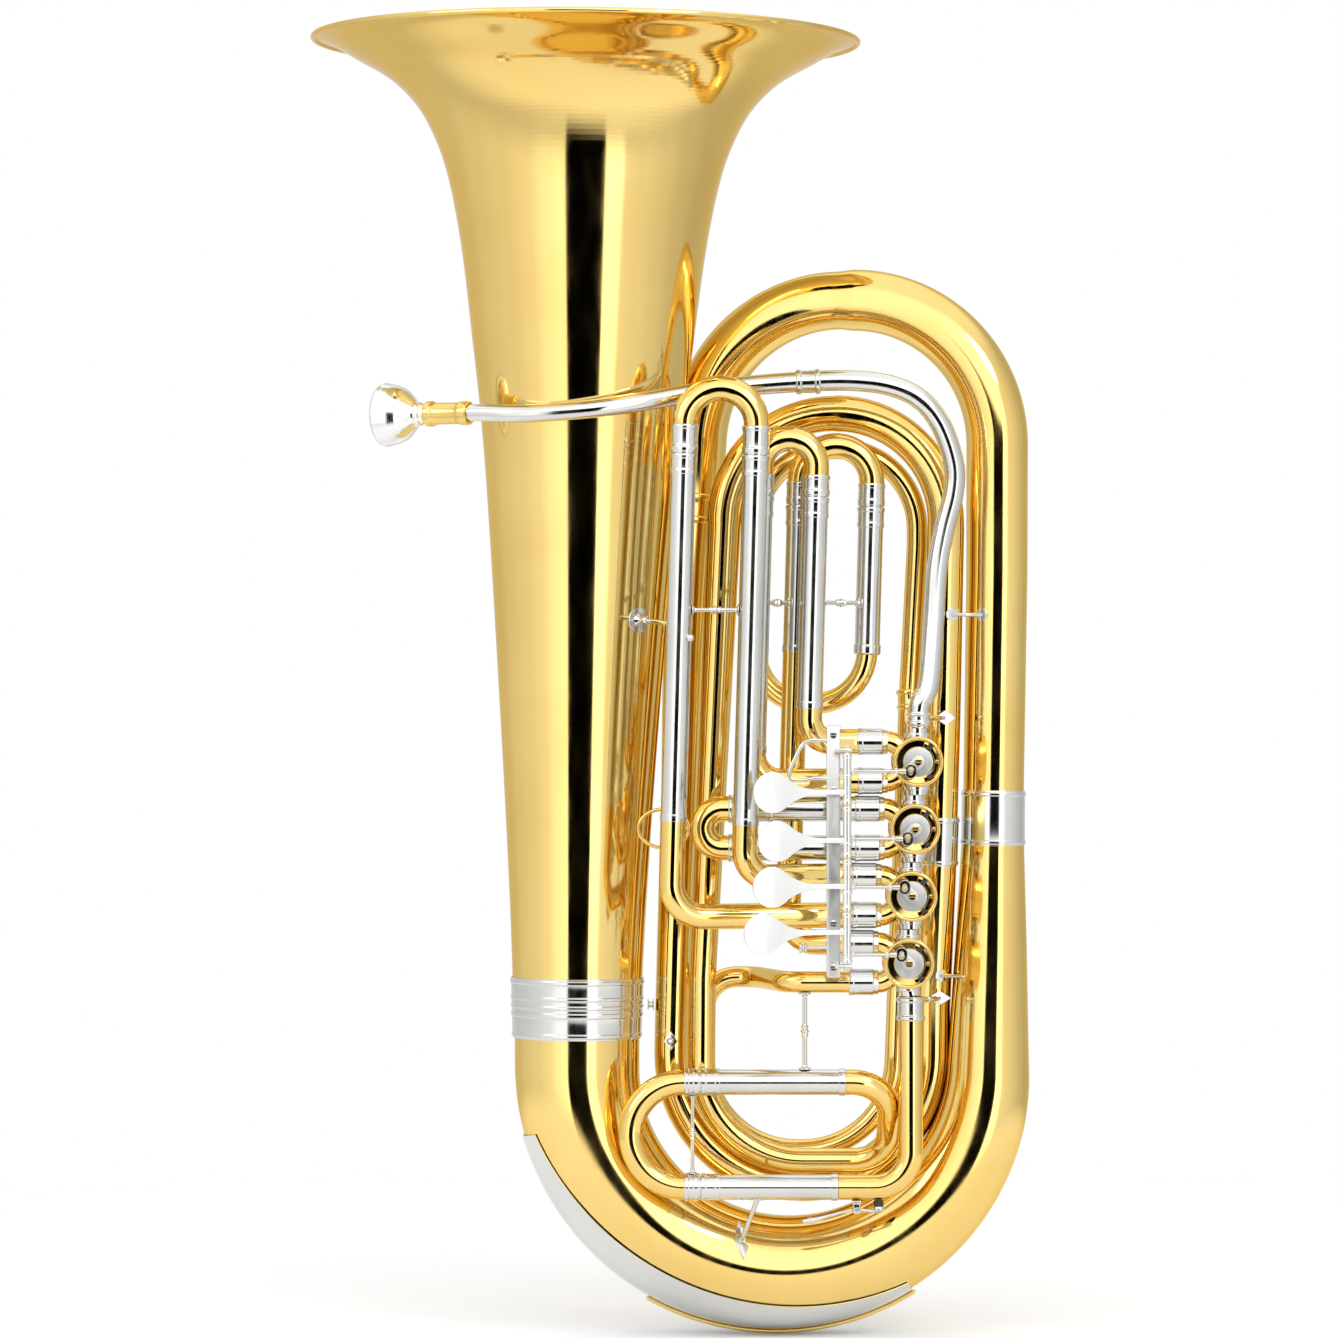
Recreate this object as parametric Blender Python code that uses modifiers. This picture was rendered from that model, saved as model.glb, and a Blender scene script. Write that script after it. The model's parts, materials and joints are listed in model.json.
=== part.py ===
"""Four-valve rotary tuba, modelled as separate pieces. Lengths below are in millimetres.

The bell stands up on the left, the valves are on the right of its front, and the mouthpiece
points to the left and away from the front. +Z is up, -Y is the front. The origin is the lowest
point of the rail under the bottom bow.
"""
import math

import bmesh
import bpy
from mathutils import Matrix, Vector

MM = 0.001
GAP = 0.3                  # clearance between pieces that touch

# Bell
BELL_X = -145.6
BELL_FOOT_Z = 219.0
BELL_LEAN = math.radians(0.5)
BELL_WALL = 0.8
BELL_SECTIONS = [          # height above the foot, radius
    (732.4, 202.0), (729.6, 190.0), (716.5, 169.0), (703.0, 145.5), (686.5, 127.5),
    (666.0, 114.0), (634.0, 101.5), (584.0, 91.0), (518.0, 82.3), (420.0, 71.5),
    (246.0, 59.2), (99.0, 50.3), (0.0, 46.2)]
BELL_RIM_THICKNESS = 3.2
BELL_STEPS = 28

# Bottom bow, from the bell's foot round to the outer riser
BOW_X = 5.5
BOW_BEND = 151.0
BOW_BOTTOM_R = 40.8
BOW_WALL = 0.9
BOW_PIECES = 12            # straight pieces in the bend
RISER_X = 160.2
RISER_JOINT_Z = 379.0
RISER_R = 22.2
SECOND_JOINT_Z = 360.0
GUARD_LIFT = 0.7
GUARD_THICKNESS = 0.8
GUARD_WRAP = math.radians(62)
RAIL_RADIUS = 1.6
BOW_Z = BOW_BEND + BOW_BOTTOM_R + GUARD_LIFT + GUARD_THICKNESS + GAP + 2 * RAIL_RADIUS

# Depths of the tubing layers: the bell's axis is at 0 and the front is negative
LEADPIPE_Y = -49.0
PORT_Y = -55.0             # valve ports, main slide, second valve slide
SLIDE_Y = {1: -67.0, 2: PORT_Y, 3: -88.0, 4: -31.0}

# Slides
SLIDE_R = 9.2              # outer slide tubes and bows
INNER_R = 7.4              # inner legs
FERRULE_R = 10.3
SLIDE_WALL = 0.8
MAIN_UPPER_Z = 188.4
MAIN_LOWER_Z = 112.3
MAIN_MOUTH_X = -55.0
PULL_RING_REACH = 63.8     # from the second slide's mouth to the middle of its pull ring
PULL_RING_HALF = (18.3, 14.0)

# Valves, top to bottom
VALVE_X = 101.9
VALVE_Z = 421.0
VALVE_STEP_X = -2.2
VALVE_STEP_Z = -48.6
VALVES = (1, 2, 3, 4)
CASING_R = 18.3
CASING_FRONT_Y = -74.5
CASING_BACK_Y = -36.0
PORT_RISE = 14.2           # slide ports above and below the valve's axis
PORT_REACH = 26.7          # from the valve's axis to the end of its ports
PORT_R = 7.6
BORE_R = 6.6
ROTOR_R = 15.2

# Levers and links
LEVER_X = 49.5
LEVER_Y = -105.9
CRANK = 26.0
PIN_ORBIT = 8.0
PIN_OFFSET = PIN_ORBIT * math.sin(math.radians(45))
LEVER_HALF = math.asin(PIN_OFFSET / CRANK)     # the lever turns this much each side of centre
PADDLE_DROP = math.radians(18.8)               # the paddle arm's angle to the front at rest
PIN_R = 1.5
LINK_Y = LEVER_Y + CRANK * math.cos(LEVER_HALF)
PADDLE_X = {1: -4.1, 2: -0.9, 3: -4.4, 4: -10.9}
PADDLE_Z = {1: 399.8, 2: 365.1, 3: 332.3, 4: 299.4}
PADDLE_R = 14.7
HINGE_TOP_Z = 427.5
HINGE_PITCH = 38.0
HINGE_LENGTH = 36.5
HINGE_R = 3.1
AXLE_R = 1.6

# Fourth valve's extra tubing, outlet and water key
SLIDE_LEAN = math.radians(1.6)
LOOP_R = 7.7
LOOP_START_Z = 503.0
OUTLET_X = 97.3
KEY_X = 58.0
KEY_Z = 96.0

# Mouthpiece and receiver
RECEIVER_START = Vector((-222.0, -66.0, 673.2))
MOUTH_YAW = math.radians(28)
MOUTH_AXIS = Vector((-math.cos(MOUTH_YAW), math.sin(MOUTH_YAW), 0))
RECEIVER_LENGTH = 36.0
SHANK_DEPTH = 30.0

BRASS = ("lacquered_brass", (0.80, 0.52, 0.17, 1), 1.0, 0.18)
NICKEL = ("nickel_silver", (0.72, 0.70, 0.64, 1), 1.0, 0.16)
SILVER = ("silver_plate", (0.88, 0.87, 0.84, 1), 1.0, 0.10)


for leftover in list(bpy.data.objects):
    bpy.data.objects.remove(leftover, do_unlink=True)
tuba = bpy.data.collections.new("tuba")


def metal(finish):
    name, colour, metallic, roughness = finish
    material = bpy.data.materials.get(name)
    if material is None:
        material = bpy.data.materials.new(name)
        material.use_nodes = True
        shader = material.node_tree.nodes["Principled BSDF"]
        shader.inputs["Base Color"].default_value = colour
        shader.inputs["Metallic"].default_value = metallic
        shader.inputs["Roughness"].default_value = roughness
    return material


def add_object(name, data, finish, origin=(0, 0, 0)):
    """Link a new object whose points are already measured from its origin."""
    obj = bpy.data.objects.new(name, data)
    obj.location = Vector(origin) * MM
    tuba.objects.link(obj)
    data.materials.append(metal(finish))
    return obj


# Paths -------------------------------------------------------------------

def route(corners, step=30):
    """Points (x, y, z, radius) along straight runs with round bends at the corners.

    A corner is (x, y, z, tube radius) with a fifth number, the bend's radius, where it turns."""
    path = [tuple(corners[0][:4])]
    for before, corner, after in zip(corners, corners[1:], corners[2:]):
        here = Vector(corner[:3])
        back = (Vector(before[:3]) - here).normalized()
        ahead = (Vector(after[:3]) - here).normalized()
        turn = math.pi - back.angle(ahead)
        if len(corner) < 5 or turn < 0.01:
            path.append(tuple(corner[:4]))
            continue
        bend = corner[4]
        tangent = bend * math.tan(turn / 2)
        centre = here + (back + ahead).normalized() * (bend / math.cos(turn / 2))
        first = here + back * tangent - centre
        last = here + ahead * tangent - centre
        pieces = max(2, round(math.degrees(turn) / step))
        for index in range(pieces + 1):
            share = index / pieces
            point = first * math.sin((1 - share) * turn) + last * math.sin(share * turn)
            path.append((*(centre + point / math.sin(turn)), corner[3]))
    path.append(tuple(corners[-1][:4]))
    return path


def tube(name, path, finish, wall=SLIDE_WALL, detail=2, origin=(0, 0, 0)):
    """A pipe along (x, y, z, radius) points. wall=None makes a solid rod with filled caps."""
    curve = bpy.data.curves.new(name, "CURVE")
    curve.dimensions = "3D"
    curve.bevel_depth = MM
    curve.bevel_resolution = detail
    curve.use_fill_caps = wall is None
    spline = curve.splines.new("POLY")
    spline.points.add(len(path) - 1)
    for point, (x, y, z, radius) in zip(spline.points, path):
        place = (Vector((x, y, z)) - Vector(origin)) * MM
        point.co = (*place, 1)
        point.radius = radius
    obj = add_object(name, curve, finish, origin)
    if wall is not None:
        shell = obj.modifiers.new("wall", "SOLIDIFY")
        shell.thickness = wall * MM
        shell.offset = -1
    return obj


# Turned pieces and solids --------------------------------------------------

def turned(name, profile, finish, steps=24, closed=True, matrix=None):
    """Turn (radius, height) points about local Z. The outer side comes first, top to bottom."""
    mesh = bpy.data.meshes.new(name)
    points = [(radius * MM, 0, height * MM) for radius, height in profile]
    edges = [(i, i + 1) for i in range(len(points) - 1)]
    if closed:
        edges.append((len(points) - 1, 0))
    mesh.from_pydata(points, edges, [])
    obj = add_object(name, mesh, finish)
    screw = obj.modifiers.new("turn", "SCREW")
    screw.steps = steps
    screw.render_steps = steps
    screw.use_merge_vertices = True
    screw.merge_threshold = 0.00001
    if matrix is not None:
        obj.matrix_world = matrix
    return obj


def frame_at(place, axis):
    """A matrix with its Z along axis and its origin at place, in metres."""
    turn = Vector(axis).to_track_quat("Z", "Y").to_matrix().to_4x4()
    return Matrix.Translation(Vector(place) * MM) @ turn


def facing_front(x, y, z):
    """Local Z points to the front and local Y points up."""
    return Matrix.Translation(Vector((x, y, z)) * MM) @ Matrix.Rotation(math.pi / 2, 4, "X")


def box(name, low, high, finish):
    mesh = bpy.data.meshes.new(name)
    shape = bmesh.new()
    bmesh.ops.create_cube(shape, size=1)
    low, high = Vector(low) * MM, Vector(high) * MM
    size = high - low
    bmesh.ops.scale(shape, vec=size, verts=shape.verts)
    bmesh.ops.translate(shape, vec=(low + high) / 2, verts=shape.verts)
    shape.to_mesh(mesh)
    shape.free()
    return add_object(name, mesh, finish)


def rod(name, start, end, radius, finish, sides=12):
    """A straight solid rod between two points."""
    mesh = bpy.data.meshes.new(name)
    shape = bmesh.new()
    start, end = Vector(start), Vector(end)
    bmesh.ops.create_cone(shape, cap_ends=True, segments=sides, radius1=radius * MM,
                          radius2=radius * MM, depth=(end - start).length * MM)
    shape.transform(frame_at((start + end) / 2, end - start))
    shape.to_mesh(mesh)
    shape.free()
    return add_object(name, mesh, finish)


def plate(name, outline, thickness, finish, holes=(), matrix=None):
    """A flat outline in local XY, extruded both ways by half its thickness."""
    curve = bpy.data.curves.new(name, "CURVE")
    curve.dimensions = "2D"
    curve.fill_mode = "BOTH"
    curve.extrude = thickness / 2 * MM
    for loop in (outline, *holes):
        spline = curve.splines.new("POLY")
        spline.points.add(len(loop) - 1)
        spline.use_cyclic_u = True
        for point, (x, y) in zip(spline.points, loop):
            point.co = (x * MM, y * MM, 0, 1)
    obj = add_object(name, curve, finish)
    if matrix is not None:
        obj.matrix_world = matrix
    return obj


def ring_points(radius, count, centre=(0, 0), first=0.0, last=360.0):
    """Points on a circle or on an arc of it."""
    span = last - first
    parts = count if span >= 360 else count - 1
    angles = [math.radians(first + span * i / parts) for i in range(count)]
    return [(centre[0] + radius * math.cos(a), centre[1] + radius * math.sin(a)) for a in angles]


# Joining and cutting -------------------------------------------------------

def as_mesh(obj):
    """Replace an object by its evaluated mesh in world space. A curve's loose caps are welded."""
    depsgraph = bpy.context.evaluated_depsgraph_get()
    mesh = bpy.data.meshes.new_from_object(obj.evaluated_get(depsgraph))
    shape = bmesh.new()
    shape.from_mesh(mesh)
    if obj.type == "CURVE":
        bmesh.ops.remove_doubles(shape, verts=shape.verts, dist=0.000002)
        bmesh.ops.recalc_face_normals(shape, faces=shape.faces)
        bmesh.ops.triangulate(shape, faces=shape.faces)
    shape.transform(obj.matrix_world)
    shape.to_mesh(mesh)
    shape.free()
    name = obj.name
    finish = obj.data.materials[0]
    bpy.data.objects.remove(obj, do_unlink=True)
    solid = bpy.data.objects.new(name, mesh)
    tuba.objects.link(solid)
    mesh.materials.clear()
    mesh.materials.append(finish)
    return solid


def combine(target, tools, operation):
    """Join the tools to the target or cut them from it. The tools are used up."""
    target = as_mesh(target)
    tools = [as_mesh(tool) for tool in tools]
    for tool in tools:
        boolean = target.modifiers.new(operation, "BOOLEAN")
        boolean.operation = operation
        boolean.object = tool
    solid = as_mesh(target)
    for tool in tools:
        bpy.data.objects.remove(tool, do_unlink=True)
    return solid


def set_origin(obj, origin):
    """Move an object's origin to a point on its joint's axis without moving its shape."""
    place = Vector(origin) * MM
    obj.data.transform(Matrix.Translation(-place))
    obj.location = place
    return obj


# Bell and bows -------------------------------------------------------------

def make_bell():
    outer = [(radius, height) for height, radius in BELL_SECTIONS]
    inner = [(radius - BELL_WALL, height) for radius, height in reversed(outer)]
    rim_radius, rim_height = outer[0]
    rolled = [(rim_radius - 1.0, rim_height - BELL_RIM_THICKNESS)]
    mouth = [(inner[-2][0] + 4.0, rim_height - 1.0), (rim_radius - 6.0, rim_height)]
    profile = [outer[0]] + rolled + outer[1:] + inner[:-1] + mouth
    matrix = Matrix.Translation(Vector((BELL_X, 0, BELL_FOOT_Z)) * MM)
    matrix = matrix @ Matrix.Rotation(BELL_LEAN, 4, "Y")
    turned("bell", profile, BRASS, steps=BELL_STEPS, matrix=matrix)


def sleeve(name, axis_start, axis_end, inner, outer, finish=NICKEL, steps=16):
    """A ferrule with a raised bead at each end, open right through."""
    start, end = Vector(axis_start), Vector(axis_end)
    length = (end - start).length
    bead = min(4.0, length / 4)
    profile = [(outer, length), (outer, length - bead), (outer - 0.8, length - bead - 0.8),
               (outer - 0.8, bead + 0.8), (outer, bead), (outer, 0), (inner, 0), (inner, length)]
    turned(name, profile, finish, steps=steps, matrix=frame_at(start, end - start))


def bow_radius(angle):
    """The bottom bow's tube radius at an angle about the bend's centre, from 180 to 360 degrees."""
    share = (angle - math.pi) / math.pi
    return 45.8 - 15.8 * share + 11.6 * share * (1 - share)


def bow_point(angle, reach):
    return BOW_X + reach * math.cos(angle), BOW_Z + reach * math.sin(angle)


def make_bottom_bow():
    path = [(BOW_X - BOW_BEND, 0, BELL_FOOT_Z - 3 * GAP, 45.8)]
    for index in range(BOW_PIECES + 1):
        angle = math.pi * (1 + index / BOW_PIECES)
        x, z = bow_point(angle, BOW_BEND)
        path.append((x, 0, z, bow_radius(angle)))
    path.append((RISER_X, 0, RISER_JOINT_Z - GAP, RISER_R))
    tube("bottom_bow", path, BRASS, wall=BOW_WALL, detail=4)


def make_bow_guard():
    """A thin plate wrapped round the outer side of the bottom bow, and the rail under it."""
    mesh = bpy.data.meshes.new("bow_guard")
    shape = bmesh.new()
    columns = 8
    first, last = 1, BOW_PIECES * 2 // 3
    grid = []
    for row in range(first, last + 1):
        angle = math.pi * (1 + row / BOW_PIECES)
        radius = bow_radius(angle) + GUARD_LIFT
        share = (row - first) / (last - first)
        half = GUARD_WRAP * math.sin(math.pi * (0.12 + 0.76 * share)) ** 0.5
        line = []
        for column in range(columns + 1):
            around = half * (2 * column / columns - 1)
            x, z = bow_point(angle, BOW_BEND + radius * math.cos(around))
            line.append(shape.verts.new(Vector((x, radius * math.sin(around), z)) * MM))
        grid.append(line)
    for lower, upper in zip(grid, grid[1:]):
        for column in range(columns):
            shape.faces.new((lower[column], lower[column + 1], upper[column + 1], upper[column]))
    shape.to_mesh(mesh)
    shape.free()
    guard = add_object("bow_guard", mesh, NICKEL)
    shell = guard.modifiers.new("sheet", "SOLIDIFY")
    shell.thickness = GUARD_THICKNESS * MM
    shell.offset = 1       # outwards, away from the bow
    path = []
    for row in range(BOW_PIECES // 3, last + 1):
        angle = math.pi * (1 + row / BOW_PIECES)
        lift = GUARD_LIFT + GUARD_THICKNESS + GAP + RAIL_RADIUS
        x, z = bow_point(angle, BOW_BEND + bow_radius(angle) + lift)
        path.append((x, 0, z, RAIL_RADIUS))
    tube("guard_rail", path, BRASS, wall=None)


def make_branches():
    """The brass tubes between the main slide and the bottom bow, smallest first."""
    second = route([(50.2, PORT_Y, MAIN_UPPER_Z, 9.2), (82.5, PORT_Y, MAIN_UPPER_Z, 9.2, 28),
                    (82.5, -17, 128, 9.2, 28), (50, -12, 128, 9.2), (-53.9, -12, 128, 9.3, 73),
                    (-53.0, -9.5, 260, 9.4), (-37.5, -1, 594, 12.4), (-36.5, 0, 675.5, 13, 80),
                    (124.5, -12, 675.5, 13.3, 80), (124.8, -13, 590, 13.4), (122.2, -9, 450, 13.5),
                    (119.7, -6, SECOND_JOINT_Z + GAP, 13.6)])
    tube("second_branch", second, BRASS)
    lower = route([(119.7, -6, SECOND_JOINT_Z - GAP, 13.6), (119.2, -5.4, 340, 13.6), (115.9, 9, 241, 13.5),
                   (115.2, 12, 109.2, 13.4, 95), (-76.0, 12, 109.2, 13.2, 95), (-75.6, 12, 215, 13.1),
                   (-73.6, 12, 288, 13.2), (-69.3, 18, 400, 14.4), (-66.2, 29, 500, 16.6),
                   (-62.4, 37.5, 568, 18.6), (-59.6, 41.5, 604.6, 19.8)])
    tube("second_bow", lower, BRASS)
    outer = route([(-59.6, 41.5, 605.4, 19.8), (-56.9, 45.4, 641, 20.6), (-54.2, 44, 760.3, 21.4, 107.5),
                   (163.4, 0, 760.3, 22.6, 107.5), (162.9, 0, 560, 22.5),
                   (RISER_X, 0, RISER_JOINT_Z + GAP, RISER_R)], step=15)
    tube("outer_branch", outer, BRASS, wall=BOW_WALL, detail=3)


def make_ferrules():
    sleeve("bell_ferrule", (BELL_X, 0, BELL_FOOT_Z - 2), (BELL_X + 0.3, 0, 262), 48.9, 50.4, steps=28)
    sleeve("riser_ferrule", (RISER_X - 0.4, 0, RISER_JOINT_Z - 20.4), (RISER_X + 0.3, 0, RISER_JOINT_Z + 20.1),
           24.1, 25.2)
    sleeve("second_ferrule", (119.3, -5.2, 344), (120.3, -6.8, 379.6), 14.5, 15.4)


# Mouthpiece and leadpipe ---------------------------------------------------

def make_leadpipe():
    start = RECEIVER_START + MOUTH_AXIS * 2
    straight = RECEIVER_START - MOUTH_AXIS * 12
    points = [(*start, 6.3), (*straight, 6.3), (-193, -79, 672.3, 6.5), (-170.9, -85, 672.4, 6.6),
              (-134.9, -87.5, 675.1, 6.8), (-98.9, -80, 680.6, 7.0), (-70, -68, 686, 7.1),
              (-45, -56, 690.5, 7.2), (-22, LEADPIPE_Y, 693.5, 7.3), (17.2, LEADPIPE_Y, 696.5, 7.4),
              (53.6, LEADPIPE_Y, 697.4, 7.5), (82.7, LEADPIPE_Y, 693.8, 7.6), (104.6, -47, 683.7, 7.6),
              (119.5, -45, 665.5, 7.7), (129.0, -43, 638.0, 7.7), (128.7, -43, 616.0, 7.7),
              (122.0, -43, 589.1, 7.7), (116.9, -44, 560.0, 7.7), (114.2, -47, 520.0, 7.7),
              (110.5, -53, 478.0, 7.7), (104.4, PORT_Y, 464.0, 7.7), (103.0, PORT_Y, 456.0, 7.7),
              (103.0, PORT_Y, 446.0, 7.7)]
    tube("leadpipe", points, NICKEL, wall=0.7)


def make_receiver():
    length = RECEIVER_LENGTH
    start = RECEIVER_START
    profile = [(8.6, length), (9.2, length - 2), (9.2, length - 6), (8.2, length - 8), (7.8, 6),
               (8.4, 4), (8.4, 0), (6.6, 0), (6.6, 2.2), (7.2, length)]
    turned("mouthpiece_receiver", profile, BRASS, steps=16, matrix=frame_at(start, MOUTH_AXIS))


def make_mouthpiece():
    """Shank, backbore, cup and rim, turned as one piece with its bore open."""
    outer = [(16.6, 64.4), (20.5, 65.5), (23.2, 63.5), (22.6, 59.0), (21.4, 54.0), (19.0, 49.0),
             (14.5, 43.5), (9.4, 39.0), (7.2, 33.5), (6.6, SHANK_DEPTH), (5.7, 0)]
    inner = [(5.0, 0), (4.0, 36.0), (12.6, 46.0), (15.9, 56.0)]
    start = RECEIVER_START + MOUTH_AXIS * (RECEIVER_LENGTH - SHANK_DEPTH + 0.5)
    turned("mouthpiece", outer + inner, SILVER, steps=20, matrix=frame_at(start, MOUTH_AXIS))


# Valves --------------------------------------------------------------------

def valve_centre(number):
    return VALVE_X + VALVE_STEP_X * (number - 1), VALVE_Z + VALVE_STEP_Z * (number - 1)


def port_path(x, z, side, radius, inset):
    """A slide port: it leaves the casing at 45 degrees and bends to the left."""
    y = PORT_Y
    reach = PORT_REACH - inset
    return [(x - 8.5, y, z + side * 7.5, radius), (x - 14.5, y, z + side * 12.6, radius),
            (x - 19.0, y, z + side * PORT_RISE, radius), (x - reach, y, z + side * PORT_RISE, radius)]


def make_casing(number):
    """A casing with a bearing wall in front, four ports, and bores from them to the rotor."""
    x, z = valve_centre(number)
    front, back = -CASING_FRONT_Y, -CASING_BACK_Y
    ring = front + 3.0
    body = turned(f"valve_casing_{number}", [(0, ring), (CASING_R - 0.6, ring), (CASING_R, ring - 0.6),
                                             (CASING_R, back), (0, back)],
                  BRASS, steps=20, closed=False, matrix=facing_front(x, 0, z))
    lean = VALVE_STEP_X / VALVE_STEP_Z
    reach = -VALVE_STEP_Z / 2 - GAP
    bottom_x = x - lean * reach if number < 4 else OUTLET_X
    tops = (x + lean * reach, PORT_Y, z + reach)
    bottoms = (bottom_x, PORT_Y, z - reach)
    ports = [tube("port", port_path(x, z, side, PORT_R, 0), BRASS, wall=None) for side in (1, -1)]
    ports += [rod("port", end, (x, PORT_Y, z + sign * 9), PORT_R, BRASS, sides=10)
              for end, sign in ((tops, 1), (bottoms, -1))]
    solid = combine(body, ports, "UNION")
    cavity = turned("cavity", [(0, ring + 1), (15.9, ring + 1), (15.9, front), (4.3, front), (4.3, front - 3),
                               (ROTOR_R + 0.5, front - 3), (ROTOR_R + 0.5, back - 1), (0, back - 1)],
                    BRASS, steps=20, closed=False, matrix=facing_front(x, 0, z))
    bores = [tube("bore", port_path(x, z, side, BORE_R, -2), BRASS, wall=None) for side in (1, -1)]
    bores += [rod("bore", Vector(end) + Vector((0, 0, sign)), (x, PORT_Y, z + sign * 4), BORE_R, BRASS, sides=10)
              for end, sign in ((tops, 1), (bottoms, -1))]
    return combine(solid, [cavity] + bores, "DIFFERENCE")


def make_rotor(number):
    """Rotor with two passages, its spindle, the stop plate and the pin that the link drives."""
    x, z = valve_centre(number)
    front, back = -CASING_FRONT_Y, -CASING_BACK_Y
    profile = [(0, front + 4.0), (3.0, front + 4.0), (3.0, front + 2.6), (10.6, front + 2.6),
               (10.6, front + 0.6), (3.7, front + 0.6), (3.7, front - 3.6), (ROTOR_R, front - 3.6),
               (ROTOR_R, back + 1.0), (0, back + 1.0)]
    body = turned(f"valve_rotor_{number}", profile, NICKEL, steps=16, closed=False,
                  matrix=facing_front(x, 0, z))
    up = -1 if number < 3 else 1
    pin_x, pin_z = x - PIN_OFFSET, z + up * PIN_OFFSET
    pin = rod("pin", (pin_x, -front - 1.5, pin_z), (pin_x, LINK_Y - 2.2, pin_z), PIN_R, NICKEL, sides=8)
    solid = combine(body, [pin], "UNION")
    passages = [rod("passage", (x + side * 10.5, PORT_Y, z - 17), (x + side * 10.5, PORT_Y, z + 17),
                    BORE_R - 0.4, NICKEL, sides=8) for side in (1, -1)]
    solid = combine(solid, passages, "DIFFERENCE")
    return set_origin(solid, (x, PORT_Y, z))


def make_back_cap(number):
    x, z = valve_centre(number)
    back = -CASING_BACK_Y - GAP
    profile = [(0, back), (CASING_R - 0.4, back), (CASING_R - 0.4, back - 3.0), (CASING_R - 2.5, back - 4.2),
               (6.0, back - 5.2), (5.2, back - 7.0), (0, back - 7.0)]
    turned(f"valve_back_cap_{number}", profile, BRASS, steps=16, closed=False,
           matrix=facing_front(x, 0, z))


# Levers and links ----------------------------------------------------------

def link_height(number):
    """The link's level: the middle of the rise and fall of the rotor's pin."""
    middle = (PIN_ORBIT + PIN_OFFSET) / 2
    x, z = valve_centre(number)
    return z - middle if number < 3 else z + middle


def make_lever(number):
    """Hinge tube, crank with its pin, and the arm that ends in a paddle."""
    top = HINGE_TOP_Z - HINGE_PITCH * (number - 1)
    pivot = Vector((LEVER_X, LEVER_Y, 0))
    profile = [(HINGE_R, top), (HINGE_R, top - HINGE_LENGTH), (AXLE_R + 0.4, top - HINGE_LENGTH),
               (AXLE_R + 0.4, top)]
    hinge = turned(f"lever_{number}", profile, SILVER, steps=12,
                   matrix=Matrix.Translation(pivot * MM))
    level = link_height(number)
    crank_way = Vector((-math.sin(LEVER_HALF), math.cos(LEVER_HALF), 0))
    crank_end = pivot + crank_way * CRANK
    crank = box("crank", (-1.8, 2.6, level - 3.8), (1.8, CRANK + 1.8, level - 1.8), SILVER)
    crank.matrix_world = Matrix.Translation(pivot * MM) @ Matrix.Rotation(LEVER_HALF, 4, "Z")
    pin_foot = crank_end + Vector((0, 0, level - 3.0))
    pin = rod("crank_pin", pin_foot, crank_end + Vector((0, 0, level + 2.6)), PIN_R, SILVER, sides=8)
    arm_way = Vector((-math.cos(PADDLE_DROP), -math.sin(PADDLE_DROP), 0))
    arm_length = (LEVER_X - PADDLE_X[number]) / math.cos(PADDLE_DROP)
    paddle_z = PADDLE_Z[number]
    centre = pivot + arm_way * arm_length + Vector((0, 0, paddle_z))
    start = pivot + arm_way * 2.6 + Vector((0, 0, paddle_z))
    arm = tube("arm", [(*start, 1.9), (*(pivot + arm_way * 16 + Vector((0, 0, paddle_z))), 2.1),
                       (*(centre - arm_way * 14), 2.1)], SILVER, wall=None)
    outline = ring_points(PADDLE_R, 13, first=55, last=305) + [(21.0, -4.2), (34.0, -2.4), (34.0, 2.4),
                                                              (21.0, 4.2)]
    face = plate("paddle", outline, 2.6, SILVER)
    back = arm_way * -1
    up = Vector((0, 0, 1))
    turn = Matrix((back, up, back.cross(up))).transposed().to_4x4()
    face.matrix_world = Matrix.Translation(centre * MM) @ turn
    solid = combine(hinge, [crank, pin, arm, face], "UNION")
    return set_origin(solid, (LEVER_X, LEVER_Y, level))


def make_link(number):
    """A flat eye on the crank's pin, a rod, and a slotted eye on the rotor's pin."""
    x, z = valve_centre(number)
    level = link_height(number)
    crank_x = LEVER_X - PIN_OFFSET
    pin_x = x - PIN_OFFSET
    eye = plate(f"link_{number}", ring_points(4.0, 12), 2.2, NICKEL, holes=[ring_points(PIN_R + 0.4, 10)],
                matrix=Matrix.Translation(Vector((crank_x, LINK_Y, level)) * MM))
    slot_half = (PIN_ORBIT - PIN_OFFSET) / 2
    slot = [(px, pz + slot_half * (1 if pz > 0 else -1)) for px, pz in ring_points(PIN_R + 0.5, 8, first=22.5)]
    outer = [(px, pz + slot_half * (1 if pz > 0 else -1)) for px, pz in ring_points(4.2, 12, first=15)]
    far_eye = plate("far_eye", outer, 2.2, NICKEL, holes=[slot], matrix=facing_front(pin_x, LINK_Y, level))
    bar = rod("bar", (crank_x + 2.9, LINK_Y, level), (pin_x - 3.0, LINK_Y, level), 1.0, NICKEL, sides=6)
    solid = combine(eye, [far_eye, bar], "UNION")
    return set_origin(solid, (crank_x, LINK_Y, level))


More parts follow.
